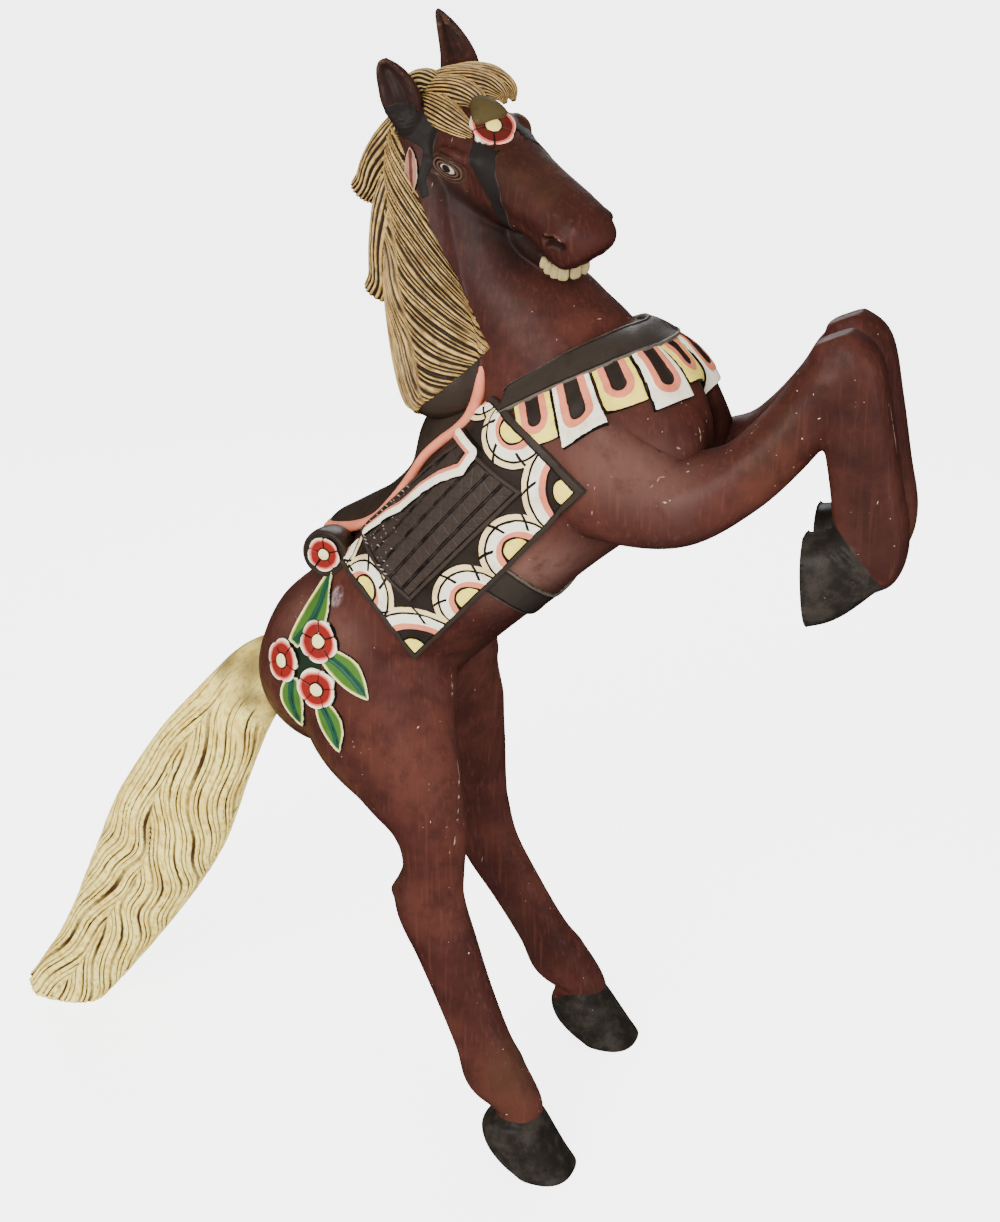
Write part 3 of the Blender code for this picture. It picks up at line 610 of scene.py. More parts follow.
shade_paths = [(radius, strength, head_path(side, places))
              for side in (-1, 1) for radius, strength, places in shade_both_sides]
# Painted shade down the outer side of each fore shank
shade_paths += [(0.040, 0.42, [(0.262, side * 0.088, 0.930), (0.298, side * 0.084, 0.800),
                             (0.304, side * 0.084, 0.755)]) for side in (-1, 1)]
# The ears are dark in their own stain
shade_paths += [(0.036, 0.92, along_curve(ear, 3)[2:, :3]) for ear in (right_ear_block, left_ear_block)]
# The head and the muzzle are darker, partly their stain and partly painted shade; painted shade down the
# front of the neck and in the cleft of the breast
shade_paths += [
    (0.090, 0.52, head_path(0, [(0.000, -0.045, 0), (0.130, -0.050, 0)])),
    (0.040, 0.25, head_path(0, [(0.212, -0.050, 0), (0.224, -0.055, 0)])),
    (0.100, 0.50, [(-0.120, 0.0, 1.070), (-0.100, 0.0, 0.960)]),
    (0.017, 0.95, [(0.116, 0.006, 0.885), (0.116, 0.006, 0.840), (0.114, 0.004, 0.800)])]
# Painted light: over the shoulders, the flanks and the top of the rump the stain is mixed paler and greyer
# where these faces take the light, partly as faded, dull varnish
faded_and_lit_paths = []
for side in (-1, 1):
    faded_and_lit_paths += [
        (0.042, 0.60, [(0.040, side * 0.133, 0.826), (0.110, side * 0.118, 0.806)]),
        (0.046, 0.90, [(-0.110, side * 0.135, 0.715), (-0.024, side * 0.104, 0.694)]),
        (0.030, 0.50, [(-0.304, side * 0.101, 0.615), (-0.240, side * 0.128, 0.600)])]
# The rims of the nostrils are painted pale, above the painted shade inside them
nostril_rim = [(0.204, -0.023, 0.041), (0.213, -0.0195, 0.040), (0.222, -0.024, 0.036)]
for side in (-1, 1):
    worn_edge = np.minimum(worn_edge, path_gap(spots, head_path(side, nostril_rim)) * 0.6)


def strongest(paths):
    """The greatest strength times ridge over paths given as radius, strength and places."""
    return np.max([strength * ridge(path, radius) for radius, strength, path in paths], axis=0)


def store(piece, fields):
    """Keeps a number of each field on each of the piece's points, for its paint to read."""
    for name, values in fields.items():
        kept = piece.data.attributes.new(name, "FLOAT", "POINT")
        kept.data.foreach_set("value", np.ascontiguousarray(values, np.float32).ravel())


store(body, {
    "faded": strongest(faded_and_lit_paths), "wear": curvature(body), "worn_edge": worn_edge * 1000,
    "glue_line": glue_line * 1000, "scuff": scuff * 1000, "hoof": hoof * 1000,
    "shade": strongest(shade_paths)})


def mixed(add, share, below, above, blend="MIX"):
    """A mix of two colours, each an output or three numbers."""
    below, above = (c if isinstance(c, bpy.types.NodeSocket) else (*c, 1) for c in (below, above))
    return add("Mix", {"data_type": "RGBA", "blend_type": blend}, i0=share, i6=below, i7=above).outputs[2]


def between(add, value, low, high, top=1.0):
    """0 below low and top above high."""
    return add("MapRange", {"interpolation_type": "SMOOTHSTEP"}, Value=value,
               From_Min=low, From_Max=high, To_Max=top).outputs[0]


def ramp(add, value, low, high, at_low=0.0, at_high=1.0):
    """A straight ramp: one number at low and another at high."""
    return add("MapRange", Value=value, From_Min=low, From_Max=high, To_Min=at_low, To_Max=at_high).outputs[0]


def worked(add, operation, *values):
    """An operation on numbers, each an output or a value."""
    return add("Math", {"operation": operation}, **{f"i{n}": v for n, v in enumerate(values)}).outputs[0]


def product(add, first, second):
    """One number times another."""
    return worked(add, "MULTIPLY", first, second)


def vectors(add, operation, *values):
    """An operation on vectors.  A length or a dot product gives a number."""
    node = add("VectorMath", {"operation": operation}, **{f"i{n}": v for n, v in enumerate(values)})
    return node.outputs["Value" if operation in ("LENGTH", "DOT_PRODUCT") else "Vector"]


def noise(add, place, scale, detail, roughness=0.5):
    """Noise between 0 and 1, with so many waves to a metre."""
    return add("TexNoise", Vector=place, Scale=scale, Detail=detail, Roughness=roughness).outputs["Fac"]


def stored(add, name):
    """A number kept on the piece's points."""
    return add("Attribute", {"attribute_name": name}).outputs["Fac"]


def hairlines(add, place, scale, width, length, lean, kept):
    """Thin straight scratches: in each cell of a Voronoi pattern, the places within a width of a line
    through the cell's centre and within a length of it.  lean stretches the lines' directions."""
    cells = add("TexVoronoi", Vector=place, Scale=scale)
    offset = vectors(add, "SUBTRACT", place, cells.outputs["Position"])
    aim = vectors(add, "SUBTRACT", cells.outputs["Color"], (0.5, 0.5, 0.5))
    aim = vectors(add, "NORMALIZE", vectors(add, "MULTIPLY", aim, lean))
    beside = vectors(add, "LENGTH", vectors(add, "CROSS_PRODUCT", offset, aim))
    along_line = worked(add, "ABSOLUTE", vectors(add, "DOT_PRODUCT", offset, aim))
    chosen = add("SeparateXYZ", i0=cells.outputs["Color"]).outputs[0]
    thin, short = between(add, beside, width, 0.5 * width), between(add, along_line, length, 0.7 * length)
    return product(add, product(add, thin, short), between(add, chosen, 1 - kept, 1.02 - kept))


brown_stain = bpy.data.materials.new("brown_stain")
stain_tree, stain_shader, stain_add = nodes_for(brown_stain)
place = stain_add("TexCoord").outputs["Object"]
broad = noise(stain_add, place, 7.0, 4.0, 0.6)
mottle = noise(stain_add, place, 38.0, 6.0, 0.7)
grain_place = stain_add("Mapping", Vector=place, Rotation=(0, -0.5, 0), Scale=(260, 260, 14)).outputs[0]
grain = noise(stain_add, grain_place, 1.0, 3.0)
fleck = noise(stain_add, place, 210.0, 2.0)
ochre = between(stain_add, noise(stain_add, place, 5.0, 3.0), 0.54, 0.70, 0.45)
patches = between(stain_add, noise(stain_add, place, 8.0, 1.0), 0.52, 0.60)
chips = between(stain_add, fleck, 0.760, 0.780, 0.9)
scratches = hairlines(stain_add, place, 46.0, 0.00050, 0.010, (1.0, 1.0, 1.0), 0.55)
upright_scratches = hairlines(stain_add, place, 34.0, 0.00045, 0.020, (0.10, 0.10, 1.0), 0.40)


def broken(share, pattern, low, high, most=1.0):
    """A share of the stain, broken up where a pattern is below low and whole above high."""
    return product(stain_add, share, between(stain_add, pattern, low, high, most))


def near(name, low, high):
    """0 where a stored number is low and 1 where it is high."""
    return between(stain_add, stored(stain_add, name), low, high)


first_stain, second_stain = (0.038, 0.0105, 0.0080), (0.074, 0.0215, 0.0145)
tone = mixed(stain_add, between(stain_add, broad, 0.36, 0.66), first_stain, second_stain)
# Each further coat, kind of wear, painted shade or painted light: where it shows, and its colour
for share, colour in (
        (between(stain_add, mottle, 0.42, 0.72, 0.55), (0.022, 0.0065, 0.0055)),
        (between(stain_add, grain, 0.50, 0.74, 0.35), (0.100, 0.032, 0.020)),
        (ochre, (0.045, 0.026, 0.011)),
        # Painted shade, where the stored shade field is high
        (broken(stored(stain_add, "shade"), mottle, 0.20, 0.50, 0.95), (0.0095, 0.0055, 0.0042)),
        # Painted light, with faded varnish: paler over the shoulders, the flanks and the top of the rump
        (broken(stored(stain_add, "faded"), mottle, 0.15, 0.55), (0.135, 0.064, 0.048)),
        (broken(near("wear", 0.12, 0.36), mottle, 0.44, 0.62, 0.55), (0.19, 0.092, 0.054)),
        # Pale lines along the worn edges and round the rims of the nostrils
        (broken(near("worn_edge", 1.5, 0.5), fleck, 0.40, 0.50, 0.75), (0.52, 0.38, 0.26)),
        (product(stain_add, scratches, patches), (0.50, 0.36, 0.27)),
        (upright_scratches, (0.42, 0.27, 0.18)),
        (product(stain_add, chips, patches), (0.60, 0.44, 0.32)),
        (broken(near("glue_line", 1.1, 0.3), fleck, 0.48, 0.56, 0.8), (0.50, 0.34, 0.24)),
        (broken(near("scuff", 12.0, 6.0), mottle, 0.35, 0.55, 0.7), (0.38, 0.30, 0.31))):
    tone = mixed(stain_add, share, tone, colour)
hoof_black, hoof_grey = (0.012, 0.0098, 0.0078), (0.030, 0.024, 0.019)
hoof_tone = mixed(stain_add, between(stain_add, mottle, 0.40, 0.66), hoof_black, hoof_grey)
hoof_tone = mixed(stain_add, product(stain_add, chips, 0.6), hoof_tone, (0.30, 0.25, 0.20))
hoof_edge = worked(stain_add, "MULTIPLY_ADD", mottle, 5.0, stored(stain_add, "hoof"))
tone = mixed(stain_add, between(stain_add, hoof_edge, 1.6, 3.6), tone, hoof_tone)
rasp_marks = stain_add("TexVoronoi", Vector=place, Scale=55.0).outputs["Distance"]
rasped = stain_add("Bump", i0=0.22, i1=0.003, i3=rasp_marks).outputs[0]
grained = stain_add("Bump", i0=0.10, i1=0.0006, i3=grain, Normal=rasped).outputs[0]
plug(stain_tree, stain_shader, Base_Color=tone, Roughness=ramp(stain_add, mottle, 0.30, 0.75, 0.42, 0.66),
     Specular_IOR_Level=0.06, Coat_Weight=0.035, Coat_Roughness=0.24, Normal=grained)
body.data.materials.clear()
body.data.materials.append(brown_stain)
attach(body, "root")
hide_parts("carved_horse")


# ---- Saddle cloth -----------------------------------------------------------------------------
# A stiff cloth hangs over each flank, carved in low relief: raised scallops of cream and salmon
# with half-moon buttons along its edges, inside a plain dark border.

sides = ((-1, "right"), (1, "left"))


def draped(starts, softening=0):
    """A grid of places in the open, each carried square to the grid until it meets the body: the
    places on the body, averaged with their neighbours so many times, the outward normals there, and
    where a place and its neighbours all met the body."""
    rows, columns = starts.shape[:2]
    cast = new_piece("cast", starts.reshape(-1, 3), sheet_faces(rows, columns))
    wrap = cast.modifiers.new("wrap", "SHRINKWRAP")
    wrap.target = body
    wrap.wrap_method = "PROJECT"
    wrap.use_negative_direction = True
    wrap.use_positive_direction = False
    settle(cast)
    places = points_of(cast)[0].reshape(rows, columns, 3)
    bpy.data.objects.remove(cast, do_unlink=True)
    moved = (np.abs(places - starts).sum(-1) > 1e-5).astype(float)
    met = smoothed(moved, 3) > 0.999
    places = smoothed(places, softening)
    return places, sheet_normals(places), met


def sheet_faces(rows, columns):
    """Squares of an open grid."""
    index = np.arange(rows * columns).reshape(rows, columns)
    return np.stack([index[:-1, :-1], index[:-1, 1:], index[1:, 1:], index[1:, :-1]], -1).reshape(-1, 4)


def sheet_normals(places):
    """The cross product of the steps along the two ways of a grid."""
    return unit(np.cross(np.gradient(places, axis=1), np.gradient(places, axis=0)))


def smoothed(values, times):
    """A grid's values, each averaged with its four neighbours so many times."""
    for _ in range(times):
        wide = np.pad(values, [(1, 1), (1, 1)] + [(0, 0)] * (values.ndim - 2), mode="edge")
        values = (4 * values + wide[:-2, 1:-1] + wide[2:, 1:-1] + wide[1:-1, :-2] + wide[1:-1, 2:]) / 8
    return values


def inlay(name, places, normals, outline, height, sink=0.003, soft=0.0008):
    """Relief on the body inside an outline: places + normals * h, where h rises from -sink outside
    the outline to the given height inside it.  The outline is a distance, positive inside.  Squares
    that lie wholly outside are left out."""
    inside = eased(outline, -soft, soft)
    rise = (-sink + (sink + height) * inside)[..., None]
    points = (places + normals * rise).reshape(-1, 3)
    squares = sheet_faces(*outline.shape)
    kept = squares[(outline.reshape(-1)[squares] > -2.2 * soft).any(1)]
    used, kept = np.unique(kept, return_inverse=True)
    return new_piece(name, points[used], kept.reshape(-1, 4)), used


def carry(piece, used, **fields):
    """Keeps grids of lengths on the piece's points, in millimetres."""
    store(piece, {name: 1000 * values.reshape(-1)[used] for name, values in fields.items()})


def finished(piece, paint):
    """Gives a piece its paint, and lets it ride with the horse."""
    piece.data.materials.clear()
    piece.data.materials.append(paint)
    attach(piece, "root")


black_brown = (0.020, 0.014, 0.011)
line_black = (0.008, 0.006, 0.005)
ivory = (0.86, 0.80, 0.62)
salmon = (0.66, 0.19, 0.105)
sand = (0.82, 0.62, 0.30)
pale_yellow = (0.88, 0.71, 0.11)


def hand_paint(name, ground, bands, wobble=0.9, gloss=0.38, chips=0.5, weathering_and_shade=(0.30, 0.20, 0.10)):
    """Brushwork on carved relief.  Each band is a field's name, its low and high limits in
    millimetres, and a colour: where the field, shifted a little by noise, lies between them, the
    colour covers what was laid before.  Small chips show the dark ground."""
    paint = bpy.data.materials.new(name)
    tree, shader, add = nodes_for(paint)
    place = add("TexCoord").outputs["Object"]
    shift = worked(add, "MULTIPLY_ADD", noise(add, place, 90.0, 2.0), 2 * wobble, -wobble)
    mottle = noise(add, place, 34.0, 5.0, 0.65)
    colour = ground
    edge = 0.15
    for field, low, high, tint in bands:
        reading = worked(add, "ADD", stored(add, field), shift)
        above = ramp(add, reading, low - edge, low + edge)
        below = ramp(add, reading, high + edge, high - edge)
        colour = mixed(add, product(add, above, below), colour, tint)
    colour = mixed(add, ramp(add, mottle, 0.50, 0.78, 0.0, 0.55), colour, weathering_and_shade, "MULTIPLY")
    fleck = noise(add, place, 260.0, 3.0, 0.7)
    colour = mixed(add, ramp(add, fleck, 0.70, 0.73, 0.0, chips), colour, black_brown)
    brushed = add("Bump", i0=0.22, i1=0.0006, i3=noise(add, place, 420.0, 3.0)).outputs[0]
    rough = ramp(add, mottle, 0.3, 0.8, gloss - 0.08, gloss + 0.2)
    plug(tree, shader, Base_Color=colour, Roughness=rough, Specular_IOR_Level=0.09, Normal=brushed)
    return paint


arc_per_degree = 0.0023
# The cloth's front and rear edges: degrees above the level of the trunk, and the place along it
cloth_front = np.array([(-18, 0.162), (0, 0.157), (18, 0.154), (36, 0.146), (50, 0.137)])
cloth_rear = np.array([(-18, -0.130), (-2, -0.117), (11, -0.112), (24, -0.113), (42, -0.124), (50, -0.130)])
# Each scallop: its place along the trunk, its height above the lower edge, its outer radius; then
# how far along and up its button lies, and the button's radius
scallops = [
    (0.160, 0.000, 0.0650, 0.143, 0.012, 0.0125), (0.058, 0.002, 0.0415, 0.058, 0.0060, 0.0145),
    (-0.022, 0.002, 0.0415, -0.022, 0.0060, 0.0145), (-0.128, 0.000, 0.0650, -0.116, 0.012, 0.0130),
    (0.147, 0.094, 0.0400, 0.143, 0.094, 0.0140), (-0.116, 0.090, 0.0405, -0.107, 0.090, 0.0135),
    (0.136, 0.160, 0.0360, 0.133, 0.166, 0.0100), (-0.126, 0.164, 0.0400, -0.120, 0.168, 0.0080)]
# The cloth's lower edge: degrees below the trunk's level at its middle, and degrees up for a metre ahead
cloth_foot, cloth_foot_climb = 15.9, 7.0
trunk_reach = 0.22


def on_trunk(alongs, angles, side):
    """A grid draped on the trunk from one side, with the place along the trunk and the angle above
    its level at each point.  It starts at axis + reach * (sin(angle) over, cos(angle) to the side)."""
    along, angle = np.meshgrid(alongs, angles, indexing="ij")
    over = trunk_reach * np.sin(np.radians(angle))
    out = side * trunk_reach * np.cos(np.radians(angle))
    places, normals, _ = draped(trunk_point(along, over, out) + stance)
    return places, normals, along, angle


def band_between(values, low, high, soft):
    """1 where values lie between low and high, eased to 0 over soft beyond them."""
    return eased(values, low - soft, low) * (1 - eased(values, high, high + soft))


cloth_paint = hand_paint("cloth_paint", black_brown, [
    ("scallop", -8.0, 1.6, line_black), ("scallop", -5.0, 0.2, sand),
    ("scallop", -18.0, -7.2, ivory), ("scallop", -24.0, -17.0, salmon), ("scallop", -25.5, -23.6, line_black),
    ("tick", -1.6, 1.6, line_black), ("button", -2.2, 1.0, line_black), ("button", 0.2, 60.0, pale_yellow),
    ("border", -9.0, 6.6, line_black), ("border", -9.0, 5.4, (0.030, 0.022, 0.017))])

cloth_thickness, rim_rise = 0.0050, 0.0016
for side, side_name in sides:
    alongs, angles = np.linspace(-0.138, 0.168, 330), np.linspace(-19.0, 49.0, 170)
    places, normals, along, angle = on_trunk(alongs, angles[::side], side)
    upward = (angle + cloth_foot - cloth_foot_climb * along) * arc_per_degree
    to_front = np.interp(angle, *cloth_front.T) - along
    to_rear = along - np.interp(angle, *cloth_rear.T)
    outline = np.minimum(np.minimum(to_front, to_rear), upward)
    distance = np.full(along.shape, 1.0)
    tick = np.full(along.shape, 1.0)
    button = np.full(along.shape, -1.0)
    for place, height, radius, button_along, button_up, button_radius in scallops:
        off = np.hypot((along - place) / 1.06, upward - height)
        nearer = off - radius < distance
        distance = np.minimum(distance, off - radius)
        turn = np.degrees(np.arctan2(upward - height, place - along))
        apart = np.abs((turn - 12 + 900 * (off - radius)) % 52 - 26)
        across = np.radians(apart) * off + np.where((off > radius - 0.015) & (off < radius + 0.001), 0, 0.02)
        tick = np.where(nearer, across, tick)
        button = np.maximum(button, button_radius - np.hypot(along - button_along, upward - button_up))
    border = np.minimum(np.minimum(upward, to_rear), to_front * 0.75)
    button = np.minimum(button, border - 0.0066)
    raised = (cloth_thickness
              + rim_rise * band_between(border, 0.0005, 0.0056, 0.0008)
              + 0.0020 * band_between(distance, -0.0236, -0.0076, 0.0012)
              + 0.0013 * band_between(distance, -0.0052, 0.0002, 0.0010)
              + 0.0016 * eased(button, -0.0006, 0.0010))
    plain_rim = cloth_thickness + rim_rise * band_between(border, 0.0005, 0.0052, 0.0008)
    raised = np.where(border < 0.0060, plain_rim, raised)
    cloth, used = inlay(f"saddle_cloth_{side_name}", places, normals, outline, raised)
    carry(cloth, used, scallop=distance, tick=tick, button=button, border=border)
    finished(cloth, cloth_paint)


# ---- Saddle -----------------------------------------------------------------------------------
# A dark wooden seat, hollow between pommel and cantle, with a salmon roll round its edge.  Its
# front runs up the neck to the mane, and on each side a tooled skirt and a white and salmon bracket
# are carved over the cloth.

# Each station: along the trunk, how far over it the roll and the crown lie, and half the width
seat_stations = np.array([
    (0.152, 0.142, 0.158, 0.064), (0.137, 0.128, 0.160, 0.076), (0.120, 0.113, 0.162, 0.083),
    (0.100, 0.105, 0.164, 0.085), (0.080, 0.105, 0.161, 0.085), (0.057, 0.109, 0.153, 0.084),
    (0.030, 0.111, 0.146, 0.082), (0.003, 0.107, 0.127, 0.081), (-0.025, 0.104, 0.123, 0.079),
    (-0.061, 0.104, 0.126, 0.071), (-0.085, 0.109, 0.133, 0.062), (-0.110, 0.119, 0.141, 0.049),
    (-0.132, 0.130, 0.148, 0.035), (-0.149, 0.138, 0.149, 0.018), (-0.153, 0.140, 0.147, 0.004)])
seat_rows = along_curve(seat_stations, 10)
along, roll, crown, half = (seat_rows[:, i, None] for i in range(4))
# Across the seat, from -1 at the right roll to 1 at the left, its top lies at
# roll + (crown - roll) * (1 - across^2)^0.7 over the trunk
across = np.sin(np.linspace(-math.pi / 2, math.pi / 2, 64))[None]
seat_top = trunk_point(along, roll + (crown - roll) * (1 - across**2) ** 0.7, across * half) + stance
seat_under = trunk_point(along, roll - 0.045, across[:, ::-1] * half * 0.96) + stance
seat_brown, dark_weathering = (0.026, 0.018, 0.013), (0.5, 0.4, 0.3)
dark_wood = hand_paint("dark_wood", seat_brown, [], gloss=0.30, chips=0.0, weathering_and_shade=dark_weathering)
seat = new_piece("seat", *closed_tube(np.concatenate([seat_top, seat_under], axis=1)[::-1]))
finished(seat, dark_wood)

roll_path = np.concatenate([
    trunk_point(seat_rows[:, 0], seat_rows[:, 1], -seat_rows[:, 3]),
    trunk_point(seat_rows[::-1, 0], seat_rows[::-1, 1], seat_rows[::-1, 3])]) + stance


def cord_round(path, radii, flat, around=14):
    """Rings carried along a path, each square to it: path + side * cos * radius
    + over * sin * radius * flat."""
    forward = unit(np.gradient(path, axis=0))
    side = unit(np.cross(forward, (-math.sin(trunk_pitch), 0, math.cos(trunk_pitch))))
    over = np.cross(side, forward)
    turn = np.linspace(0, 2 * math.pi, around, endpoint=False)[None, :, None]
    return path[:, None] + radii[:, None, None] * (
        side[:, None] * np.cos(turn) + over[:, None] * np.sin(turn) * flat)


share = np.abs(np.linspace(-1, 1, len(roll_path)))
roll_radius = 0.0062 + 0.0018 * eased(share, 0.55, 0.85) + 0.0050 * (1 - eased(share, 0.0, 0.30))
roll_paint = hand_paint("roll_paint", salmon, [], gloss=0.34, chips=0.45, weathering_and_shade=(0.42, 0.22, 0.14))
seat_roll = new_piece("seat_roll", *closed_tube(cord_round(roll_path, roll_radius, 0.85)))
finished(seat_roll, roll_paint)

# Under the pommel the saddle's dark front runs up the neck to the mane: heights, and how far round
# from behind the roll lies there
saddle_front_edge = np.array([
    (0.775, 50), (0.789, 62), (0.815, 82), (0.831, 91), (0.845, 99), (0.8645, 102.8),
    (0.887, 104.4), (0.918, 104), (0.934, 98), (0.950, 88)])
neck_axis, neck_reach = -0.120, 0.20


def on_neck(rounds, heights, side, softening=0):
    """A grid draped on the neck from one side, with how far round from behind, in degrees, and how
    high each point lies.  It starts at axis + reach * (-cos(round) ahead, sin(round) to the side)."""
    turn, height = np.meshgrid(rounds[::-side], heights, indexing="ij")
    ahead = neck_axis - neck_reach * np.cos(np.radians(turn))
    out = side * neck_reach * np.sin(np.radians(turn))
    return *draped(np.stack([ahead, out, height], -1) + stance, softening), turn, height


for side, side_name in sides:
    rounds, heights = np.linspace(-2, 112, 120), np.linspace(0.965, 0.790, 130)
    places, normals, met, turn, height = on_neck(rounds, heights, side)
    limit = np.interp(height, *saddle_front_edge.T)
    outline = np.minimum(np.radians(limit - turn) * 0.085, 0.955 - height)
    outline = np.where(met, outline, -0.01)
    front, used = inlay(f"saddle_front_{side_name}", smoothed(places, 2), normals, outline, 0.0016)
    finished(front, dark_wood)

skirt_corners = [(0.088, 40.0), (0.110, 3.4), (-0.0705, 4.4), (-0.089, 55.0)]
bracket_path = np.array([
    (0.085, 43.5), (0.094, 29.5), (0.073, 27.8), (0.047, 32.8), (0.017, 36.6), (-0.002, 37.4),
    (-0.017, 38.4), (-0.039, 42.5), (-0.076, 46.5)])


def edges_distance(x, y, corners):
    """How far inside a shape of straight edges a place lies, its corners given clockwise."""
    corners = np.asarray(corners, float)
    following = np.roll(corners, -1, axis=0)
    found = []
    for (ax, ay), (bx, by) in zip(corners, following):
        length = math.hypot(bx - ax, by - ay)
        found.append(((bx - ax) * (ay - y) - (by - ay) * (ax - x)) / length)
    return np.min(found, axis=0)


def path_distance(x, y, path):
    """The distance to a path of straight spans, the share along it, and the side it lies on."""
    best = np.full(x.shape, 9.0)
    share = np.zeros(x.shape)
    side = np.zeros(x.shape)
    for number, ((ax, ay), (bx, by)) in enumerate(zip(path, path[1:])):
        dx, dy = bx - ax, by - ay
        t = np.clip(((x - ax) * dx + (y - ay) * dy) / (dx * dx + dy * dy), 0, 1)
        off = np.hypot(x - ax - t * dx, y - ay - t * dy)
        nearer = off < best
        best = np.where(nearer, off, best)
        share = np.where(nearer, (number + t) / (len(path) - 1), share)
        side = np.where(nearer, np.sign(dx * (y - ay) - dy * (x - ax)), side)
    return best, share, side


# The pale band is painted highlight on the raised tooling
skirt_paint = hand_paint("skirt_paint", (0.034, 0.024, 0.019), [
    ("groove", -2.0, 0.6, line_black), ("worn_skirt", 9.0, 99.0, (0.30, 0.26, 0.22))],
    gloss=0.36, chips=0.35, weathering_and_shade=(0.5, 0.4, 0.33))
bracket_paint = hand_paint("bracket_paint", ivory, [
    ("upper", 1.4, 20.0, salmon), ("rim", -6.0, 0.8, line_black)], gloss=0.36, chips=0.6)

skirt_thickness, bracket_thickness, bracket_half = 0.0088, 0.0125, 0.0066
for side, side_name in sides:
    alongs, angles = np.linspace(-0.104, 0.118, 380), np.linspace(1.0, 53.0, 210)
    places, normals, along, angle = on_trunk(alongs, angles[::side], side)
    upward = angle * arc_per_degree
    corners = [(a, b * arc_per_degree) for a, b in skirt_corners]
    outline = edges_distance(along, upward, corners)
    above, share, above_side = path_distance(along, upward, bracket_path * (1, arc_per_degree))
    above = above * above_side
    # Tooling: double lines along the skirt, and between them squares crossed from corner to corner
    square = 0.0165
    row = ((upward - 0.0085) - 0.010 * (along + 0.02)) / square
    step = (along - 0.10 * upward) / square
    double = np.abs(np.abs(row - np.round(row)) * square - 0.0010)
    crossing = np.abs(step - np.round(step)) * square
    diagonal = np.minimum(np.abs(row % 1 - step % 1), np.abs(row % 1 + step % 1 - 1)) * square * 0.7
    inside = outline > 0.0055
    double = np.where(inside & (row > 0.3), double, 1)
    fine = np.where(inside, np.minimum(crossing, diagonal), 1)
    frame_line = np.abs(outline - 0.0048)
    raised = (skirt_thickness + 0.0010 * band_between(outline, 0.0006, 0.0040, 0.0007)
              - 0.0014 * (1 - eased(np.minimum(double, frame_line), 0.0002, 0.0009))
              - 0.0007 * (1 - eased(fine, 0.0001, 0.0008)))
    skirt, used = inlay(f"saddle_skirt_{side_name}", places, normals, np.minimum(outline, 0.004), raised)
    # Painted highlight: pale marks on the raised tooling, more of them towards the skirt's upper rear
    hand = np.sin(along * 411) * np.sin(upward * 523 + along * 97) * np.sin(along * 1210 + upward * 760)
    carry(skirt, used, groove=np.minimum(double, frame_line),
          worn_skirt=0.018 * hand * eased(upward - 0.9 * along, 0.05, 0.14) * (fine > 0.0012))
    finished(skirt, skirt_paint)
    rim = bracket_half - np.abs(above)
    raised = bracket_thickness - 0.0016 * (above / bracket_half) ** 2
    bracket, used = inlay(f"saddle_bracket_{side_name}", places, normals, rim, raised, sink=-0.006)
    carry(bracket, used, upper=-above, rim=rim)
    finished(bracket, bracket_paint)


# ---- Girth ------------------------------------------------------------------------------------
# A broad dark strap under the belly, from the edge of one side of the cloth to the other's.

alongs, angles = np.linspace(-0.045, 0.045, 90), np.linspace(-12.0, -168.0, 260)
places, normals, along, angle = on_trunk(alongs, angles, -1)
# The strap sags back under the belly: from the cloth's edge on one side to that on the other
first_angle, girth_span, sag_depth = 17, 146, 0.028
girth_along, girth_half = 0.0125, 0.0185
under_belly = np.clip(-angle - first_angle, 0, girth_span) / girth_span
sag = sag_depth * np.clip(np.sin(math.pi * under_belly), 0, 1) ** 1.5
girth_outline = girth_half - np.abs(along + sag - girth_along)
raised = 0.0036 + 0.0009 * band_between(girth_outline, 0.0006, 0.0030, 0.0007)
girth, used = inlay("girth_strap", places, normals, girth_outline, raised)
carry(girth, used, edge=girth_outline)
strap_paint = hand_paint("strap_paint", (0.030, 0.023, 0.018), [
    ("edge", 0.2, 1.4, (0.10, 0.08, 0.06)), ("edge", 2.8, 3.9, line_black)],
    gloss=0.30, chips=0.0, weathering_and_shade=dark_weathering)
finished(girth, strap_paint)


# ---- Breast strap and its tabs ----------------------------------------------------------------
# A dark strap lies over the breast.  Square tabs hang from it, long white ones between shorter
# yellow ones, each with a salmon U round a dark tongue.

chest_axis = -0.030
cone_height = 1.15
tab_pitch = 20.6
tab_shift = -8.3
long_drop, short_drop = 0.086, 0.068


def on_chest(turns, slants):
    """A grid draped on the breast, softened, with each point's turn from straight ahead in degrees
    and its slant.  It starts on a cone round an upright axis, whose sides fall at 45 degrees:
    radius = (height + slant) / 2 and z = (height - slant) / 2."""
    turn, slant = np.meshgrid(turns, slants, indexing="ij")
    radius = (cone_height + slant) / 2
    around = np.radians(turn)
    starts = np.stack(
        [chest_axis + radius * np.cos(around), radius * np.sin(around), (cone_height - slant) / 2], -1)
    return *draped(starts + stance, 2)[:2], turn, slant


places, normals, turn, slant = on_chest(np.linspace(-122, 122, 480), np.linspace(-0.866, -0.690, 150))
# The strap's lower edge, as a slant, falls towards the shoulders
lower = -0.807 + 0.054 * (np.abs(turn) / 101) ** 2.5
drop = slant - lower
# Tabs at the sides hang a little forward
square_turn = turn * (1 + 0.11 * (np.abs(turn) / 82) * np.clip(drop, 0, 1) / 0.09)
number = np.round((square_turn - tab_shift) / tab_pitch)
apart = (square_turn - tab_shift) / tab_pitch - number
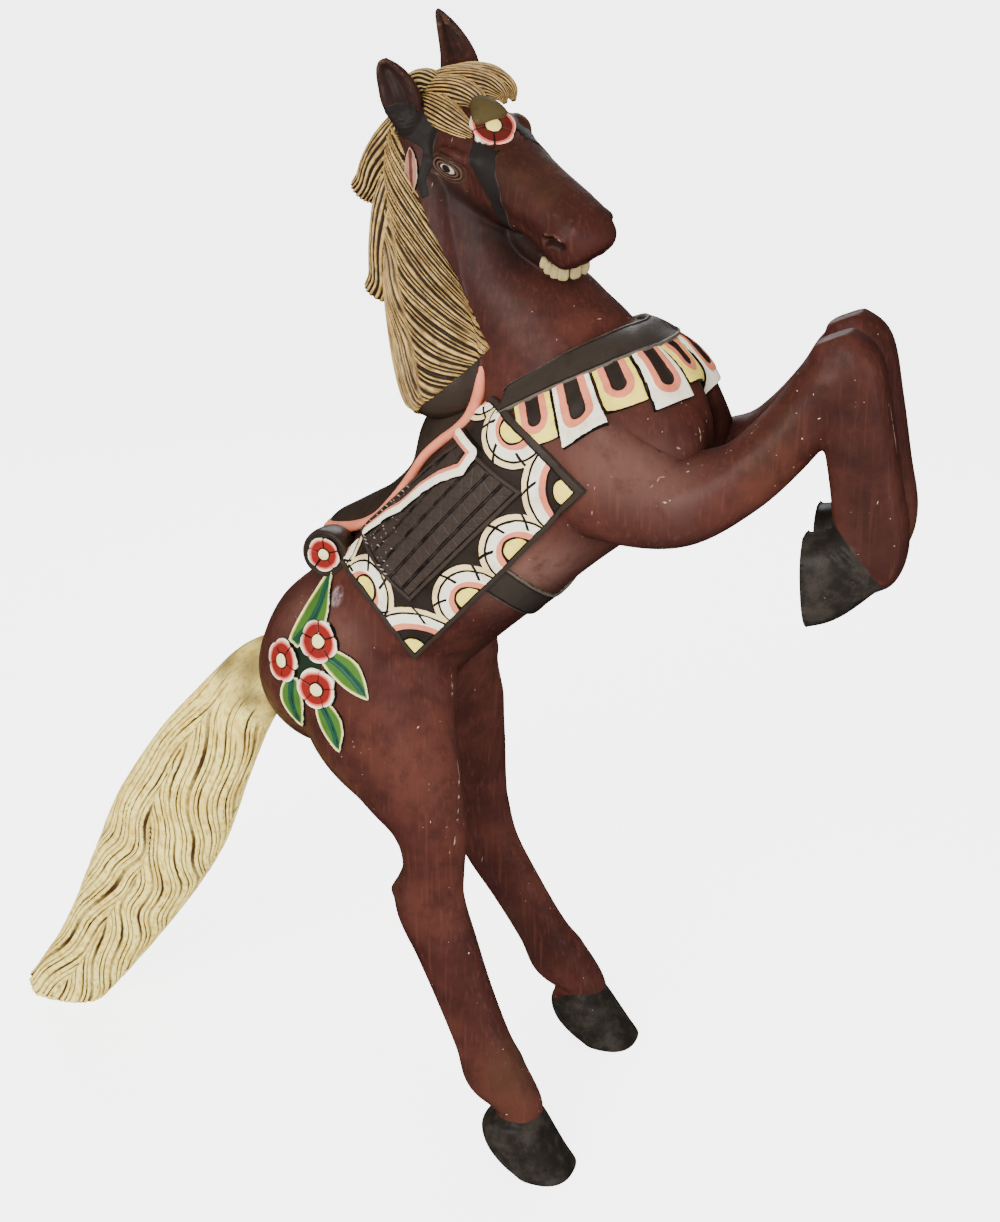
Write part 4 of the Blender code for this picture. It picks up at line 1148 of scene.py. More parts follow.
# A step down the cone is this share of its slant, and turns lie round a chest of this radius
true_length, chest_radius = 0.71, 0.125
tab_width = math.radians(tab_pitch) * chest_radius
sideways = apart * tab_width
long_tab = number % 2 == 1
length = np.where(long_tab, long_drop, short_drop)
tab_outline = np.minimum(tab_width / 2 - 0.0009 - np.abs(sideways), (length - drop) * true_length)
tab_outline = np.where(np.abs(number) <= 4.6, tab_outline, -1)
tab_outline = np.minimum(tab_outline, drop + 0.010)
metric_drop = drop * true_length
tongue = np.hypot(sideways, np.maximum(metric_drop - (length * true_length - 0.026), 0))
tab_raised = (np.where(long_tab, 0.0056, 0.0044) + 0.0010 * band_between(tongue, 0.0082, 0.0148, 0.0010)
              - 0.0012 * (1 - eased(tongue, 0.0066, 0.0078)))
tabs, used = inlay("breast_tabs", places, normals, tab_outline, tab_raised)
carry(tabs, used, tongue=tongue, rim=tab_outline, long_tab=np.where(long_tab, 0.01, 0.0))
tab_paint = hand_paint("tab_paint", pale_yellow, [
    ("long_tab", 5.0, 20.0, ivory), ("tongue", -5.0, 15.2, salmon), ("tongue", -5.0, 7.8, black_brown),
    ("rim", -9.0, 0.9, line_black)], gloss=0.36, chips=0.6)
finished(tabs, tab_paint)

strap_outline = np.minimum(0.0006 - metric_drop, (drop + 0.050) * true_length)
strap_raised = 0.0072 + 0.0008 * band_between(strap_outline, 0.0006, 0.0022, 0.0006)
strap_raised -= 0.0080 * eased(np.abs(turn), 108, 116)
strap, used = inlay("breast_strap", places, normals, strap_outline, strap_raised)
carry(strap, used, edge=strap_outline)
finished(strap, strap_paint)


# ---- Bedroll ----------------------------------------------------------------------------------
# A rolled pack lies across the back behind the cantle.  Each end is a dark ring round a flower.

roll_along, roll_over, roll_half = -0.134, 0.115, 0.094
# Along the roll from its middle, as a share of its half length, and its radius there
roll_shape = np.array([
    (0.0, 0.0090), (0.42, 0.0110), (0.62, 0.0220), (0.85, 0.0262), (0.97, 0.0264), (1.0, 0.0250),
    (1.004, 0.0230), (0.985, 0.0215), (0.982, 0.0010)])


def turned_on_roll(side):
    """The roll's half from its middle to one end: rings of a given radius round the cross line."""
    rows = along_curve(roll_shape, 6)
    turn = np.linspace(0, 2 * math.pi, 72, endpoint=False)
    outward, radius = rows[:, 0, None], rows[:, 1, None]
    droop = 0.004 * (1 - np.clip(outward, 0, 1) ** 2)
    along = roll_along + radius * np.cos(turn)
    over = roll_over + droop + radius * np.sin(turn)
    return trunk_point(along, over, side * outward * roll_half + 0 * turn) + stance


roll_rings = np.concatenate([turned_on_roll(-1)[::-1], turned_on_roll(1)[1:]])
bedroll = new_piece("bedroll", *closed_tube(roll_rings[::-1]))
finished(bedroll, dark_wood)


# ---- Carved flowers and leaves ----------------------------------------------------------------
# Red flowers with white edges and cream hearts, cut in relief with the leaves round them.

def flower_fields(places, centre, outward, upward, radius, turned):
    """Distances in a flower's own plane: from its heart, inside its five-lobed outline, and from
    the cuts between the petals.  The outline's radius is r * (0.87 + 0.13 * sqrt|cos 2.5t|)."""
    right = unit(np.cross(upward, outward))
    upward = np.cross(outward, right)
    x = (places - centre) @ right
    y = (places - centre) @ upward
    off = np.hypot(x, y)
    turn = np.arctan2(y, x) + turned
    lobe = np.abs(np.cos(2.5 * turn))
    outline = radius * (0.87 + 0.13 * np.sqrt(lobe)) - off
    cut = off * lobe / 2.5 + np.where(off < 0.34 * radius, 1, 0)
    return off, outline, cut


def flower_height(off, cut, radius, base):
    """Petals dished towards the heart, parted by cuts, round a domed heart."""
    share = off / radius
    petals = base + 0.0016 * share**2 - 0.0011 * (1 - eased(cut, 0.0002, 0.0012))
    heart = 0.0022 * np.sqrt(np.clip(1 - (share / 0.33) ** 2, 0, 1))
    return petals + heart - 0.0008 * (1 - eased(np.abs(share - 0.35), 0.0, 0.05))


def carve_flower(name, surface, centre, facing, upward, radius, turned, base, paint, sink=0.003, droop=0.0):
    """A flower cut in relief over a surface's places and normals, its edge drooping by droop * off^2."""
    places, normals = surface
    off, outline, cut = flower_fields(places, centre, facing, upward, radius, turned)
    height = flower_height(off, cut, radius, base) - droop * off**2
    flower, used = inlay(name, places, normals, outline, height, sink)
    carry(flower, used, off=off, rim=outline, cut=cut)
    finished(flower, paint)


def flat_patch(centre, rightward, upward, half, count):
    """A flat square grid of places round a centre."""
    spread = np.linspace(-half, half, count)
    u, v = np.meshgrid(spread, spread, indexing="ij")
    return centre + u[..., None] * rightward + v[..., None] * upward


petal_red = (0.20, 0.012, 0.009)
petal_pink = (0.50, 0.085, 0.060)
petal_blush = (0.74, 0.36, 0.28)


def petal_paint(name, radius, red=petal_red, heart=(0.84, 0.74, 0.33)):
    """White-edged red petals, for a flower of a given radius."""
    size = radius * 1000
    return hand_paint(name, ivory, [
        ("off", 0.0, 0.90 * size, petal_blush), ("off", 0.0, 0.82 * size, petal_pink),
        ("off", 0.0, 0.74 * size, red), ("off", 0.0, 0.37 * size, line_black),
        ("off", -1.0, 0.31 * size, heart), ("cut", -1.0, 0.6, line_black),
        ("rim", -9.0, 0.5, line_black)], gloss=0.34, chips=0.5, wobble=1.1)


flower_paint = petal_paint("flower_paint", 0.0238)
cap_radius = 0.0198
cap_paint = petal_paint("cap_paint", cap_radius)
for side, side_name in sides:
    centre = trunk_point(roll_along, roll_over, side * roll_half * 0.988) + stance
    outward = np.array([0.0, side, 0.0])
    places = flat_patch(centre, (1, 0, 0), (0, 0, side), 0.024, 70)
    carve_flower(f"bedroll_flower_{side_name}", (places, outward), centre, outward, (0, 0, 1),
                 cap_radius, 0.3, 0.0022, cap_paint)


def on_rump(x_range, z_range, step=0.0007):
    """A grid draped on the right of the rump, with each point's x and z."""
    x, z = np.meshgrid(np.arange(*x_range, step), np.arange(*z_range, step)[::-1], indexing="ij")
    starts = np.stack([x, np.full(x.shape, -0.26), z], -1) + stance
    return draped(starts)[:2], x, z


# Each leaf: its root and its tip beside the rump, its width, and how far it bows to its right
leaves = [
    ((-0.300, 0.584), (-0.268, 0.664), 0.034, 0.010),
    ((-0.262, 0.582), (-0.206, 0.535), 0.033, -0.004),
    ((-0.266, 0.524), (-0.240, 0.471), 0.032, -0.004),
    ((-0.300, 0.547), (-0.298, 0.482), 0.032, 0.006)]
leaf_green = (0.050, 0.125, 0.018)
leaf_teal = (0.012, 0.062, 0.034)
leaf_lime, leaf_edge = (0.30, 0.36, 0.055), (0.80, 0.76, 0.36)
leaf_paint = hand_paint("leaf_paint", leaf_teal, [
    ("vein", 4.2, 50.0, leaf_green), ("rim", -1.0, 3.6, leaf_lime), ("rim", -1.0, 2.1, leaf_edge),
    ("vein", -0.5, 0.3, line_black), ("rim", -9.0, 0.5, line_black)], gloss=0.34, chips=0.4, wobble=0.7)
for number, (root, tip, width, bow) in enumerate(leaves):
    root, tip = np.array(root), np.array(tip)
    low, high = np.minimum(root, tip) - 0.02, np.maximum(root, tip) + 0.02
    surface, x, z = on_rump((low[0], high[0]), (low[1], high[1]))
    length = np.hypot(*(tip - root))
    along = (tip - root) / length
    share = ((x - root[0]) * along[0] + (z - root[1]) * along[1]) / length
    off = (x - root[0]) * along[1] - (z - root[1]) * along[0] - bow * np.sin(math.pi * np.clip(share, 0, 1))
    half = 0.5 * width * np.sin(math.pi * np.clip(share * 0.86 + 0.14, 0, 1)) ** 0.9
    outline = np.where((share > -0.02) & (share < 1), half - np.abs(off), -0.01)
    outline = np.minimum(outline, (share + 0.02) * length)
    raised = 0.0032 + 0.0012 * eased(outline, 0.002, 0.0008)
    raised -= 0.0010 * (1 - eased(np.abs(off), 0.0003, 0.003))
    leaf, used = inlay(f"leaf_{number}", *surface, outline, raised)
    carry(leaf, used, rim=outline, vein=np.abs(off))
    finished(leaf, leaf_paint)

# Painted shadow: a green-black sheet lies on the rump between the flowers
shadow_centre, shadow_radius = (-0.286, 0.565), 0.021
surface, x, z = on_rump((-0.316, -0.256), (0.535, 0.595))
outline = shadow_radius - np.hypot(x - shadow_centre[0], z - shadow_centre[1])
shadow, used = inlay("leaf_shadow", *surface, outline, 0.0012)
finished(shadow, hand_paint("leaf_shadow_paint", (0.010, 0.020, 0.010), [], gloss=0.40, chips=0.0))

# Each flower: its place beside the rump, its radius, and its turn
rump_flowers = [(-0.267, 0.593, 0.0238, 0.2), (-0.314, 0.563, 0.0238, 0.9), (-0.269, 0.540, 0.0242, 0.5)]
for number, (x0, z0, radius, turned) in enumerate(rump_flowers):
    surface, _, _ = on_rump((x0 - 0.034, x0 + 0.034), (z0 - 0.034, z0 + 0.034))
    places, normals = surface
    middle = tuple(np.array(places.shape[:2]) // 2)
    carve_flower(f"flower_{number}", surface, places[middle], unit(normals[middle]), (0, 0, 1),
                 radius, turned, 0.0050, flower_paint)


# ---- Mane -------------------------------------------------------------------------------------
# The mane is carved on the neck as a mass of combed strands, parted near the crest, and painted cream, its
# grooves dark brown: a glaze left in them with painted shade.  Four locks hang free behind the crest.

def hair_paint(name, light, glaze, dark, width, fine):
    """Cream strands with grooves painted dark, as glaze and painted shade.  A groove lies where the strand
    number, stored on the piece, is whole; cut says how dark the odd grooves are and paired the even ones.
    width is half a groove's share of a strand, and fine the weight of finer lines between."""
    paint = bpy.data.materials.new(name)
    tree, shader, add = nodes_for(paint)
    place = add("TexCoord").outputs["Object"]
    strand, run, cut, paired, bottom = (
        stored(add, field) for field in ("strand", "run", "cut", "paired", "bottom"))
    mottle = noise(add, place, 30.0, 5.0, 0.65)
    wobble = noise(add, place, 110.0, 2.0)

    def line(turns, share, waver):
        """1 in the grooves, where the strand number times turns is whole, and 0 beyond a share of it."""
        number = worked(add, "MULTIPLY_ADD", wobble, waver, product(add, strand, turns))
        away = worked(add, "PINGPONG", worked(add, "SUBTRACT", number, 0.5 * waver), 0.5)
        return between(add, away, share, 0.4 * share)

    streak_place = add("CombineXYZ", i0=strand, i1=product(add, run, 0.045)).outputs[0]
    streak = noise(add, streak_place, 2.2, 3.0)
    tone = mixed(add, between(add, mottle, 0.42, 0.70, 0.7), light, glaze)
    tone = mixed(add, between(add, streak, 0.46, 0.66, 0.75), tone, glaze)
    thin = product(add, line(2.0, 0.16, 0.30), between(add, streak, 0.40, 0.62, fine))
    tone = mixed(add, product(add, thin, cut), tone, dark)
    odd_groove = product(add, line(1.0, width, 0.22), cut)
    paired_groove = product(add, line(0.5, 0.5 * width, 0.11), paired)
    groove = worked(add, "MAXIMUM", odd_groove, paired_groove)
    # The grooves are painted dark: glaze with painted shade
    tone = mixed(add, groove, tone, dark)
    tone = mixed(add, between(add, bottom, 0.3, 1.0, 0.8), tone, dark)
    deep = add("Bump", {"invert": True}, i0=0.6, i1=0.001, i3=groove).outputs[0]
    plug(tree, shader, Base_Color=tone, Roughness=ramp(add, mottle, 0.3, 0.8, 0.36, 0.62),
         Specular_IOR_Level=0.2, Normal=deep)
    return paint


def combed(strand, depth, sharpness=2.2):
    """Strands parted by V-shaped grooves: depth * (1 - |2 * fraction - 1| to a power)."""
    fraction = strand - np.floor(strand)
    return depth * (1 - np.abs(2 * fraction - 1) ** sharpness)


def hair_fields(piece, strand, run, cut, bottom=0.0, paired=None):
    """Keeps the strand number, the run along it in millimetres, and how deep it is cut."""
    paired = cut if paired is None else paired
    store(piece, {"strand": strand, "run": run * 1000, "cut": cut, "bottom": bottom + 0 * strand,
                  "paired": paired})


groove_glaze_and_shade = (0.018, 0.010, 0.005)
mane_cream, mane_glaze = (0.50, 0.32, 0.105), (0.17, 0.092, 0.027)
mane_paint = hair_paint("mane_paint", mane_cream, mane_glaze, groove_glaze_and_shade, 0.38, 0.60)

# Up the neck: the height, how far round from behind the parting lies, and the mane's front edge
mane_edges = np.array([
    (0.840, 70, 124), (0.866, 68, 122), (0.890, 65, 118), (0.914, 60, 112), (0.948, 51, 98), (0.982, 43, 83),
    (1.011, 40, 68), (1.040, 33, 55), (1.074, 25, 43), (1.105, 20, 34), (1.128, 16, 25), (1.150, 12, 16)])
# The lower edge: how far round, and the height
mane_foot = np.array([
    (0, 0.840), (50, 0.845), (61, 0.849), (77, 0.867), (92, 0.889), (111, 0.916), (125, 0.935)])
parting_top, parting_foot = np.array([-0.212, 1.105]), np.array([-0.160, 0.865])
swept_to = np.array([-0.040, 0.878])
strand_width, hung_width, hung_lean = 0.0086, 0.0052, 0.22
for side, side_name in sides:
    rounds, heights = np.linspace(4, 124, 230), np.linspace(1.150, 0.835, 380)
    places, normals, met, turn, height = on_neck(rounds, heights, side, 3)
    flat = places[..., [0, 2]] - stance[[0, 2]]
    radius = np.hypot(flat[..., 0] - neck_axis, places[..., 1])
    parting = np.interp(height, mane_edges[:, 0], mane_edges[:, 1])
    edge = np.interp(height, mane_edges[:, 0], mane_edges[:, 2])
    foot = np.interp(turn, mane_foot[:, 0], mane_foot[:, 1])
    from_parting = np.radians(turn - parting) * radius
    flat[..., 1] -= 0.016 * np.exp(-np.clip(from_parting, 0, 1) / 0.012)
    # Swept strands lie on the rays that run together to one place: where each meets the parting
    line = parting_foot - parting_top
    ray = flat - swept_to
    to_top = parting_top - swept_to
    down = -(ray[..., 0] * to_top[1] - ray[..., 1] * to_top[0])
    down /= ray[..., 0] * line[1] - ray[..., 1] * line[0]
    swept = down * np.hypot(*line) / strand_width
    foot_of_ray = parting_top + down[..., None] * line
    whole_ray = np.linalg.norm(foot_of_ray - swept_to, axis=-1)
    nearness = np.linalg.norm(ray, axis=-1) / np.maximum(whole_ray, 1e-6)
    nearness = np.where(from_parting > 0, nearness, 1.0)
    swept += 0.22 * np.sin(from_parting / 0.017 + swept * 0.7)
    # Hung strands, behind the parting, lean a little as they fall, and wave
    hung = (-from_parting + hung_lean * (1.11 - height) + 0.002 * np.sin(height / 0.012)) / hung_width
    strand = np.where(from_parting > 0, swept, hung)
    strand = strand + 0.22 * np.sin(2.3 * strand) + 0.05 * np.sin(7.1 * strand)
    apart = np.abs(from_parting)
    outline = np.minimum(np.radians(edge - turn) * radius, (height - foot) * 0.85)
    outline = np.minimum(outline, (1.140 - height))
    outline = np.where(met, outline + 0.0014 * np.sin(strand * math.pi) ** 2, -0.01)
    # Where the strands draw together every second groove fades out, and at last the rest
    odd = eased(nearness, 0.42, 0.56) * (0.5 + 0.5 * eased(apart, 0.0, 0.004))
    paired = eased(nearness, 0.14, 0.26) * (0.5 + 0.5 * eased(apart, 0.0, 0.004))
    off_odd = np.abs(strand - np.round(strand))
    off_paired = 2 * np.abs(0.5 * strand - np.round(0.5 * strand))
    wide = np.clip(0.20 / np.maximum(nearness, 0.05), 0.34, 0.8)
    groove = np.maximum(odd * (1 - eased(off_odd, 0.04, 0.36)), paired * (1 - eased(off_paired, 0.04, wide)))
    raised = (0.0020 + 0.0030 * eased(outline, 0.0, 0.008) + 0.0030 * (1 - groove)
              - 0.0022 * (1 - eased(apart, 0.0, 0.005)))
    mane, used = inlay(f"mane_{side_name}", places, normals, outline, raised, soft=0.0012)
    strand, run, odd, paired = (
        field.reshape(-1)[used] for field in (strand, swept_to[0] - flat[..., 0], odd, paired))
    hair_fields(mane, strand, run, odd, paired=paired)
    finished(mane, mane_paint)


def with_ends(values, like):
    """A tube's numbers as one row, with one more for the point that each end is drawn in to."""
    values = values + 0 * like
    return np.concatenate([values.ravel(), [values[0, 0], values[-1, 0]]])


def hair_lock(name, rows, strands, depth, paint, left=to_left, twist=0.0, around=150):
    """A lock of hair: an oval loft whose radius swells between grooves that run along it, each ring
    turned a little further than the last."""
    grid = oval_loft(rows, left=left, squareness=2.3, steps=14, around=around)
    middle = grid.mean(1, keepdims=True)
    turn = np.linspace(0, 1, around, endpoint=False)[None]
    share = np.linspace(0, 1, len(grid))[:, None]
    strand = strands * (turn + twist * share + 0.012 * np.sin(share * 9 + turn * 12))
    outward = unit(grid - middle)
    size = np.linalg.norm(grid - middle, axis=-1)
    swell = combed(strand, 1.0) * depth * np.clip(size / 0.012, 0.3, 1.2) * eased(share, 0.0, 0.12)
    grid = grid + outward * (swell - 0.5 * depth)[..., None]
    points, squares, triangles = closed_tube(grid)
    piece = new_piece(name, points + stance, squares, triangles)
    run = np.linalg.norm(middle[:, 0] - middle[0, 0], axis=-1)[:, None]
    fields = (strand, run, eased(share, 0, 0.1), eased(share, 0.965, 1.0))
    hair_fields(piece, *(with_ends(field, strand) for field in fields))
    finished(piece, paint)


# Each lock: its strands, then its stations from the crest to the tip
mane_locks = [
    (18, [(-0.174, 0.004, 1.168, 0.010, 0.014), (-0.192, 0.000, 1.170, 0.013, 0.020),
          (-0.208, -0.004, 1.150, 0.014, 0.020), (-0.212, -0.008, 1.120, 0.012, 0.018),
          (-0.212, -0.010, 1.100, 0.008, 0.012)]),
    (25, [(-0.200, -0.016, 1.142, 0.010, 0.016), (-0.213, -0.018, 1.118, 0.018, 0.026),
          (-0.228, -0.016, 1.094, 0.020, 0.029), (-0.241, -0.012, 1.072, 0.018, 0.027),
          (-0.252, -0.010, 1.060, 0.016, 0.024)]),
    (27, [(-0.198, -0.012, 1.100, 0.018, 0.028), (-0.208, -0.016, 1.056, 0.026, 0.038),
          (-0.214, -0.016, 1.010, 0.027, 0.040), (-0.220, -0.014, 0.975, 0.024, 0.036),
          (-0.229, -0.012, 0.957, 0.022, 0.034)]),
    (28, [(-0.190, -0.014, 0.990, 0.018, 0.034), (-0.189, -0.018, 0.940, 0.026, 0.044),
          (-0.186, -0.020, 0.890, 0.025, 0.042), (-0.182, -0.022, 0.850, 0.018, 0.034),
          (-0.183, -0.022, 0.832, 0.010, 0.020)])]
for number, (strands, rows) in enumerate(mane_locks):
    hair_lock(f"mane_lock_{number}", rows, strands, 0.0030, mane_paint)


# ---- Forelock ---------------------------------------------------------------------------------
# Combed locks fall forward between the ears and lie over the brow, above a carved flower.

forelock_cream, forelock_glaze = (0.47, 0.29, 0.095), (0.15, 0.082, 0.025)
forelock_paint = hair_paint("forelock_paint", forelock_cream, forelock_glaze, groove_glaze_and_shade, 0.34, 0.5)
# Each lock: places along the head, up it and to its left, then half depth and half width
forelocks = [
    [(-0.034, -0.006, 0.022, 0.010, 0.013), (-0.010, 0.010, 0.033, 0.012, 0.016),
     (0.014, 0.019, 0.043, 0.012, 0.014), (0.032, 0.020, 0.048, 0.011, 0.011),
     (0.046, 0.018, 0.050, 0.008, 0.008), (0.056, 0.011, 0.048, 0.002, 0.003)],
    [(-0.034, -0.006, 0.008, 0.010, 0.014), (-0.010, 0.012, 0.016, 0.013, 0.017),
     (0.014, 0.021, 0.025, 0.013, 0.015), (0.034, 0.023, 0.033, 0.011, 0.011),
     (0.047, 0.019, 0.037, 0.008, 0.008), (0.056, 0.013, 0.036, 0.002, 0.003)],
    [(-0.030, -0.006, -0.004, 0.010, 0.014), (-0.006, 0.010, 0.001, 0.013, 0.017),
     (0.018, 0.018, 0.006, 0.013, 0.016), (0.036, 0.018, 0.010, 0.010, 0.012),
     (0.048, 0.013, 0.010, 0.007, 0.008), (0.055, 0.007, 0.009, 0.002, 0.003)],
    [(-0.020, -0.010, -0.012, 0.010, 0.012), (0.004, 0.004, -0.018, 0.012, 0.016),
     (0.028, 0.009, -0.023, 0.012, 0.016), (0.050, 0.009, -0.024, 0.010, 0.013),
     (0.068, 0.006, -0.021, 0.008, 0.009), (0.080, 0.002, -0.018, 0.003, 0.003)]]
for number, rows in enumerate(forelocks):
    hair_lock(f"forelock_{number}", head_rows(rows), 21, 0.0026, forelock_paint, left=head_left, twist=0.20,
              around=168)


# ---- Brow flower ------------------------------------------------------------------------------
# A carved bud covers the upper half of a flower on the forehead.

bud_brown, bud_stain = (0.060, 0.043, 0.016), (0.22, 0.16, 0.07)
bud_rows = head_rows([
    (0.042, 0.013, 0.006, 0.006, 0.007), (0.052, 0.020, 0.005, 0.011, 0.012),
    (0.063, 0.022, 0.003, 0.011, 0.017), (0.072, 0.021, 0.001, 0.008, 0.020),
    (0.077, 0.018, 0.000, 0.004, 0.018)])
bud = new_piece("brow_bud", *closed_tube(oval_loft(bud_rows, left=head_left) + stance))
finished(bud, hand_paint("bud_paint", bud_brown, [], gloss=0.40, chips=0.8, weathering_and_shade=bud_stain))

brow_centre = head_point(0.080, 0.014, -0.002) + stance
brow_facing = unit(head_up + 0.34 * head_forward - 0.10 * head_left)
brow_right = unit(np.cross(brow_facing, head_forward))
brow_ahead = np.cross(brow_right, brow_facing)
brow_radius, brow_paint_radius = 0.0245, 0.0262
brow_red, brow_heart = (0.075, 0.011, 0.008), (0.80, 0.60, 0.14)
brow_paint = petal_paint("brow_flower_paint", brow_paint_radius, brow_red, brow_heart)
carve_flower("brow_flower", (flat_patch(brow_centre, brow_right, -brow_ahead, 0.030, 90), brow_facing),
             brow_centre, brow_facing, -head_forward, brow_radius, math.pi / 2, 0.0045, brow_paint,
             sink=0.012, droop=5.0)


# ---- Bridle and eyes --------------------------------------------------------------------------
# Bridle straps are painted bluish black on the face, their raised edges picked out with a painted highlight.
# The eyes are carved between double lids and picked out in white.

head_reach = 0.11


def on_head(alongs, ups, side, softening=0):
    """A grid draped on one side of the face, with each point's place along the head and up it."""
    along, up = np.meshgrid(alongs, ups[::side], indexing="ij")
    return *draped(head_point(along, up, side * head_reach) + stance, softening), along, up


# The straps' edges are painted lighter as a painted highlight
bridle_paint = hand_paint("bridle_paint", (0.0115, 0.0088, 0.0078), [
    ("edge", 0.0, 0.5, (0.045, 0.028, 0.021))], gloss=0.50, chips=0.0, weathering_and_shade=(0.7, 0.6, 0.5))
# Each strap: places along the head and up it, and half the strap's width
cheek_strap = [
    (-0.010, 0.004, 0.012), (0.012, 0.004, 0.018), (0.028, -0.002, 0.014), (0.040, -0.012, 0.0065),
    (0.046, -0.026, 0.0045), (0.051, -0.040, 0.0040), (0.063, -0.051, 0.0030)]
nose_strap = [
    (0.088, 0.014, 0.011), (0.103, -0.002, 0.0105), (0.118, -0.013, 0.0095), (0.131, -0.025, 0.0085),
    (0.140, -0.045, 0.0070), (0.146, -0.062, 0.0050), (0.154, -0.070, 0.0030)]
eye_white = (0.36, 0.29, 0.25)
eye_black, lid_brown = (0.012, 0.009, 0.008), (0.085, 0.045, 0.030)
eye_paint = hand_paint("eye_paint", (0.036, 0.020, 0.014), [
    ("eye", 60.0, 85.0, (0.016, 0.010, 0.008)), ("eye", 0.0, 60.0, eye_white), ("eye", 0.0, 34.0, eye_black),
    ("lid", 0.0, 0.7, lid_brown)], gloss=0.26, chips=0.0, wobble=0.5)
eye_along, eye_up = 0.068, -0.0235
eye_half_length, eye_half_height, upper_lid_rise = 0.0190, 0.0078, 0.0020
for side, side_name in sides:
    alongs, ups = np.linspace(-0.020, 0.200, 300), np.linspace(-0.090, 0.020, 150)
    places, normals, met, along, up = on_head(alongs, ups, side, 2)
    for name, strap_rows in (("cheek_strap", cheek_strap), ("nose_strap", nose_strap)):
        rows = along_curve(strap_rows, 8)
        gap, share, _ = path_distance(along, up, rows[:, :2])
        half = np.interp(share, np.linspace(0, 1, len(rows)), rows[:, 2])
        outline = half - gap
        outline = np.where((share > 0.002) & (share < 0.998) & met, outline, -0.01)
        strap, used = inlay(f"{name}_{side_name}", places, normals, outline, 0.0009, sink=0.002)
        carry(strap, used, edge=outline)
        finished(strap, bridle_paint)
    alongs = np.linspace(eye_along - 0.034, eye_along + 0.034, 150)
    ups = np.linspace(eye_up - 0.020, eye_up + 0.020, 100)
    places, normals, _, along, up = on_head(alongs, ups, side, 2)
    x = (along - eye_along) / eye_half_length
    y = (up - eye_up) / (eye_half_height + upper_lid_rise * (up > eye_up))
    ring = np.sqrt(x**2 + y**2) + 0.20 * np.abs(x) ** 3
    outline = (1.62 - ring) * 0.008
    ball = np.sqrt(np.clip(1 - (ring / 0.56) ** 2, 0, 1))
    raised = (0.0006 + 0.0022 * ball + 0.0022 * band_between(ring, 0.66, 0.80, 0.08)
              + 0.0016 * band_between(ring, 1.02, 1.12, 0.10) - 0.0014 * band_between(ring, 0.88, 0.94, 0.06)
              - 0.0008 * band_between(ring, 1.24, 1.28, 0.08))
    eye, used = inlay(f"eye_{side_name}", places, normals, outline, raised)
    pupil = np.hypot((along - eye_along + 0.001) / 0.0054, (up - eye_up - 0.0006) / 0.0042) * 34
    shown = np.where(ring < 0.50, np.minimum(pupil, 59), np.where(ring < 0.62, 70, 120)) / 1000
    carry(eye, used, eye=shown, lid=np.minimum(np.abs(ring - 0.74), np.abs(ring - 1.07)) * 0.012)
    finished(eye, eye_paint)


# ---- Teeth ------------------------------------------------------------------------------------
# Carved teeth show in the open mouth, cream, darkened in patches towards olive as painted shade.

# Painted shade: patches of the cream are darkened towards olive
tooth_cream, tooth_olive_shade = (0.34, 0.27, 0.125), (0.12, 0.09, 0.032)
tooth_paint = hand_paint("tooth_paint", tooth_cream, [], gloss=0.34, chips=0.8, weathering_and_shade=tooth_olive_shade)
# Each tooth: its place along the head, up it and to its left, then its half width, length and depth
teeth = [
    (0.191, -0.076, -0.0225, 0.0046, 0.0058, 0.004), (0.197, -0.079, -0.0215, 0.0048, 0.0068, 0.004),
    (0.204, -0.080, -0.0190, 0.0050, 0.0078, 0.004), (0.211, -0.079, -0.0145, 0.0060, 0.0086, 0.005),
    (0.217, -0.078, -0.0040, 0.0062, 0.0084, 0.005), (0.219, -0.076, 0.0070, 0.0060, 0.0078, 0.005),
    (0.204, -0.078, 0.0190, 0.0050, 0.0078, 0.004), (0.194, -0.077, 0.0230, 0.0050, 0.0070, 0.004)]
for number, (along, up, left, half, length, depth) in enumerate(teeth):
    out = unit(np.array([0.6, left / 0.026]))
    facing = out[0] * head_forward + out[1] * head_left
    across = unit(np.cross(head_up, facing))
    top, foot = head_point(along, up + length, left), head_point(along, up - length, left)
    rows = [(*(top + (foot - top) * share), depth * swell, half * swell)
            for share, swell in ((0.0, 0.72), (0.3, 0.92), (0.7, 1.0), (0.92, 0.86), (1.0, 0.55))]
    grid = oval_loft(rows, left=across, squareness=3.0, steps=6, around=40)
    finished(new_piece(f"tooth_{number}", *closed_tube(grid + stance)), tooth_paint)


# ---- Side leaf of the bridle ------------------------------------------------------------------
# A pink leaf is carved where the cheek strap meets the mane.

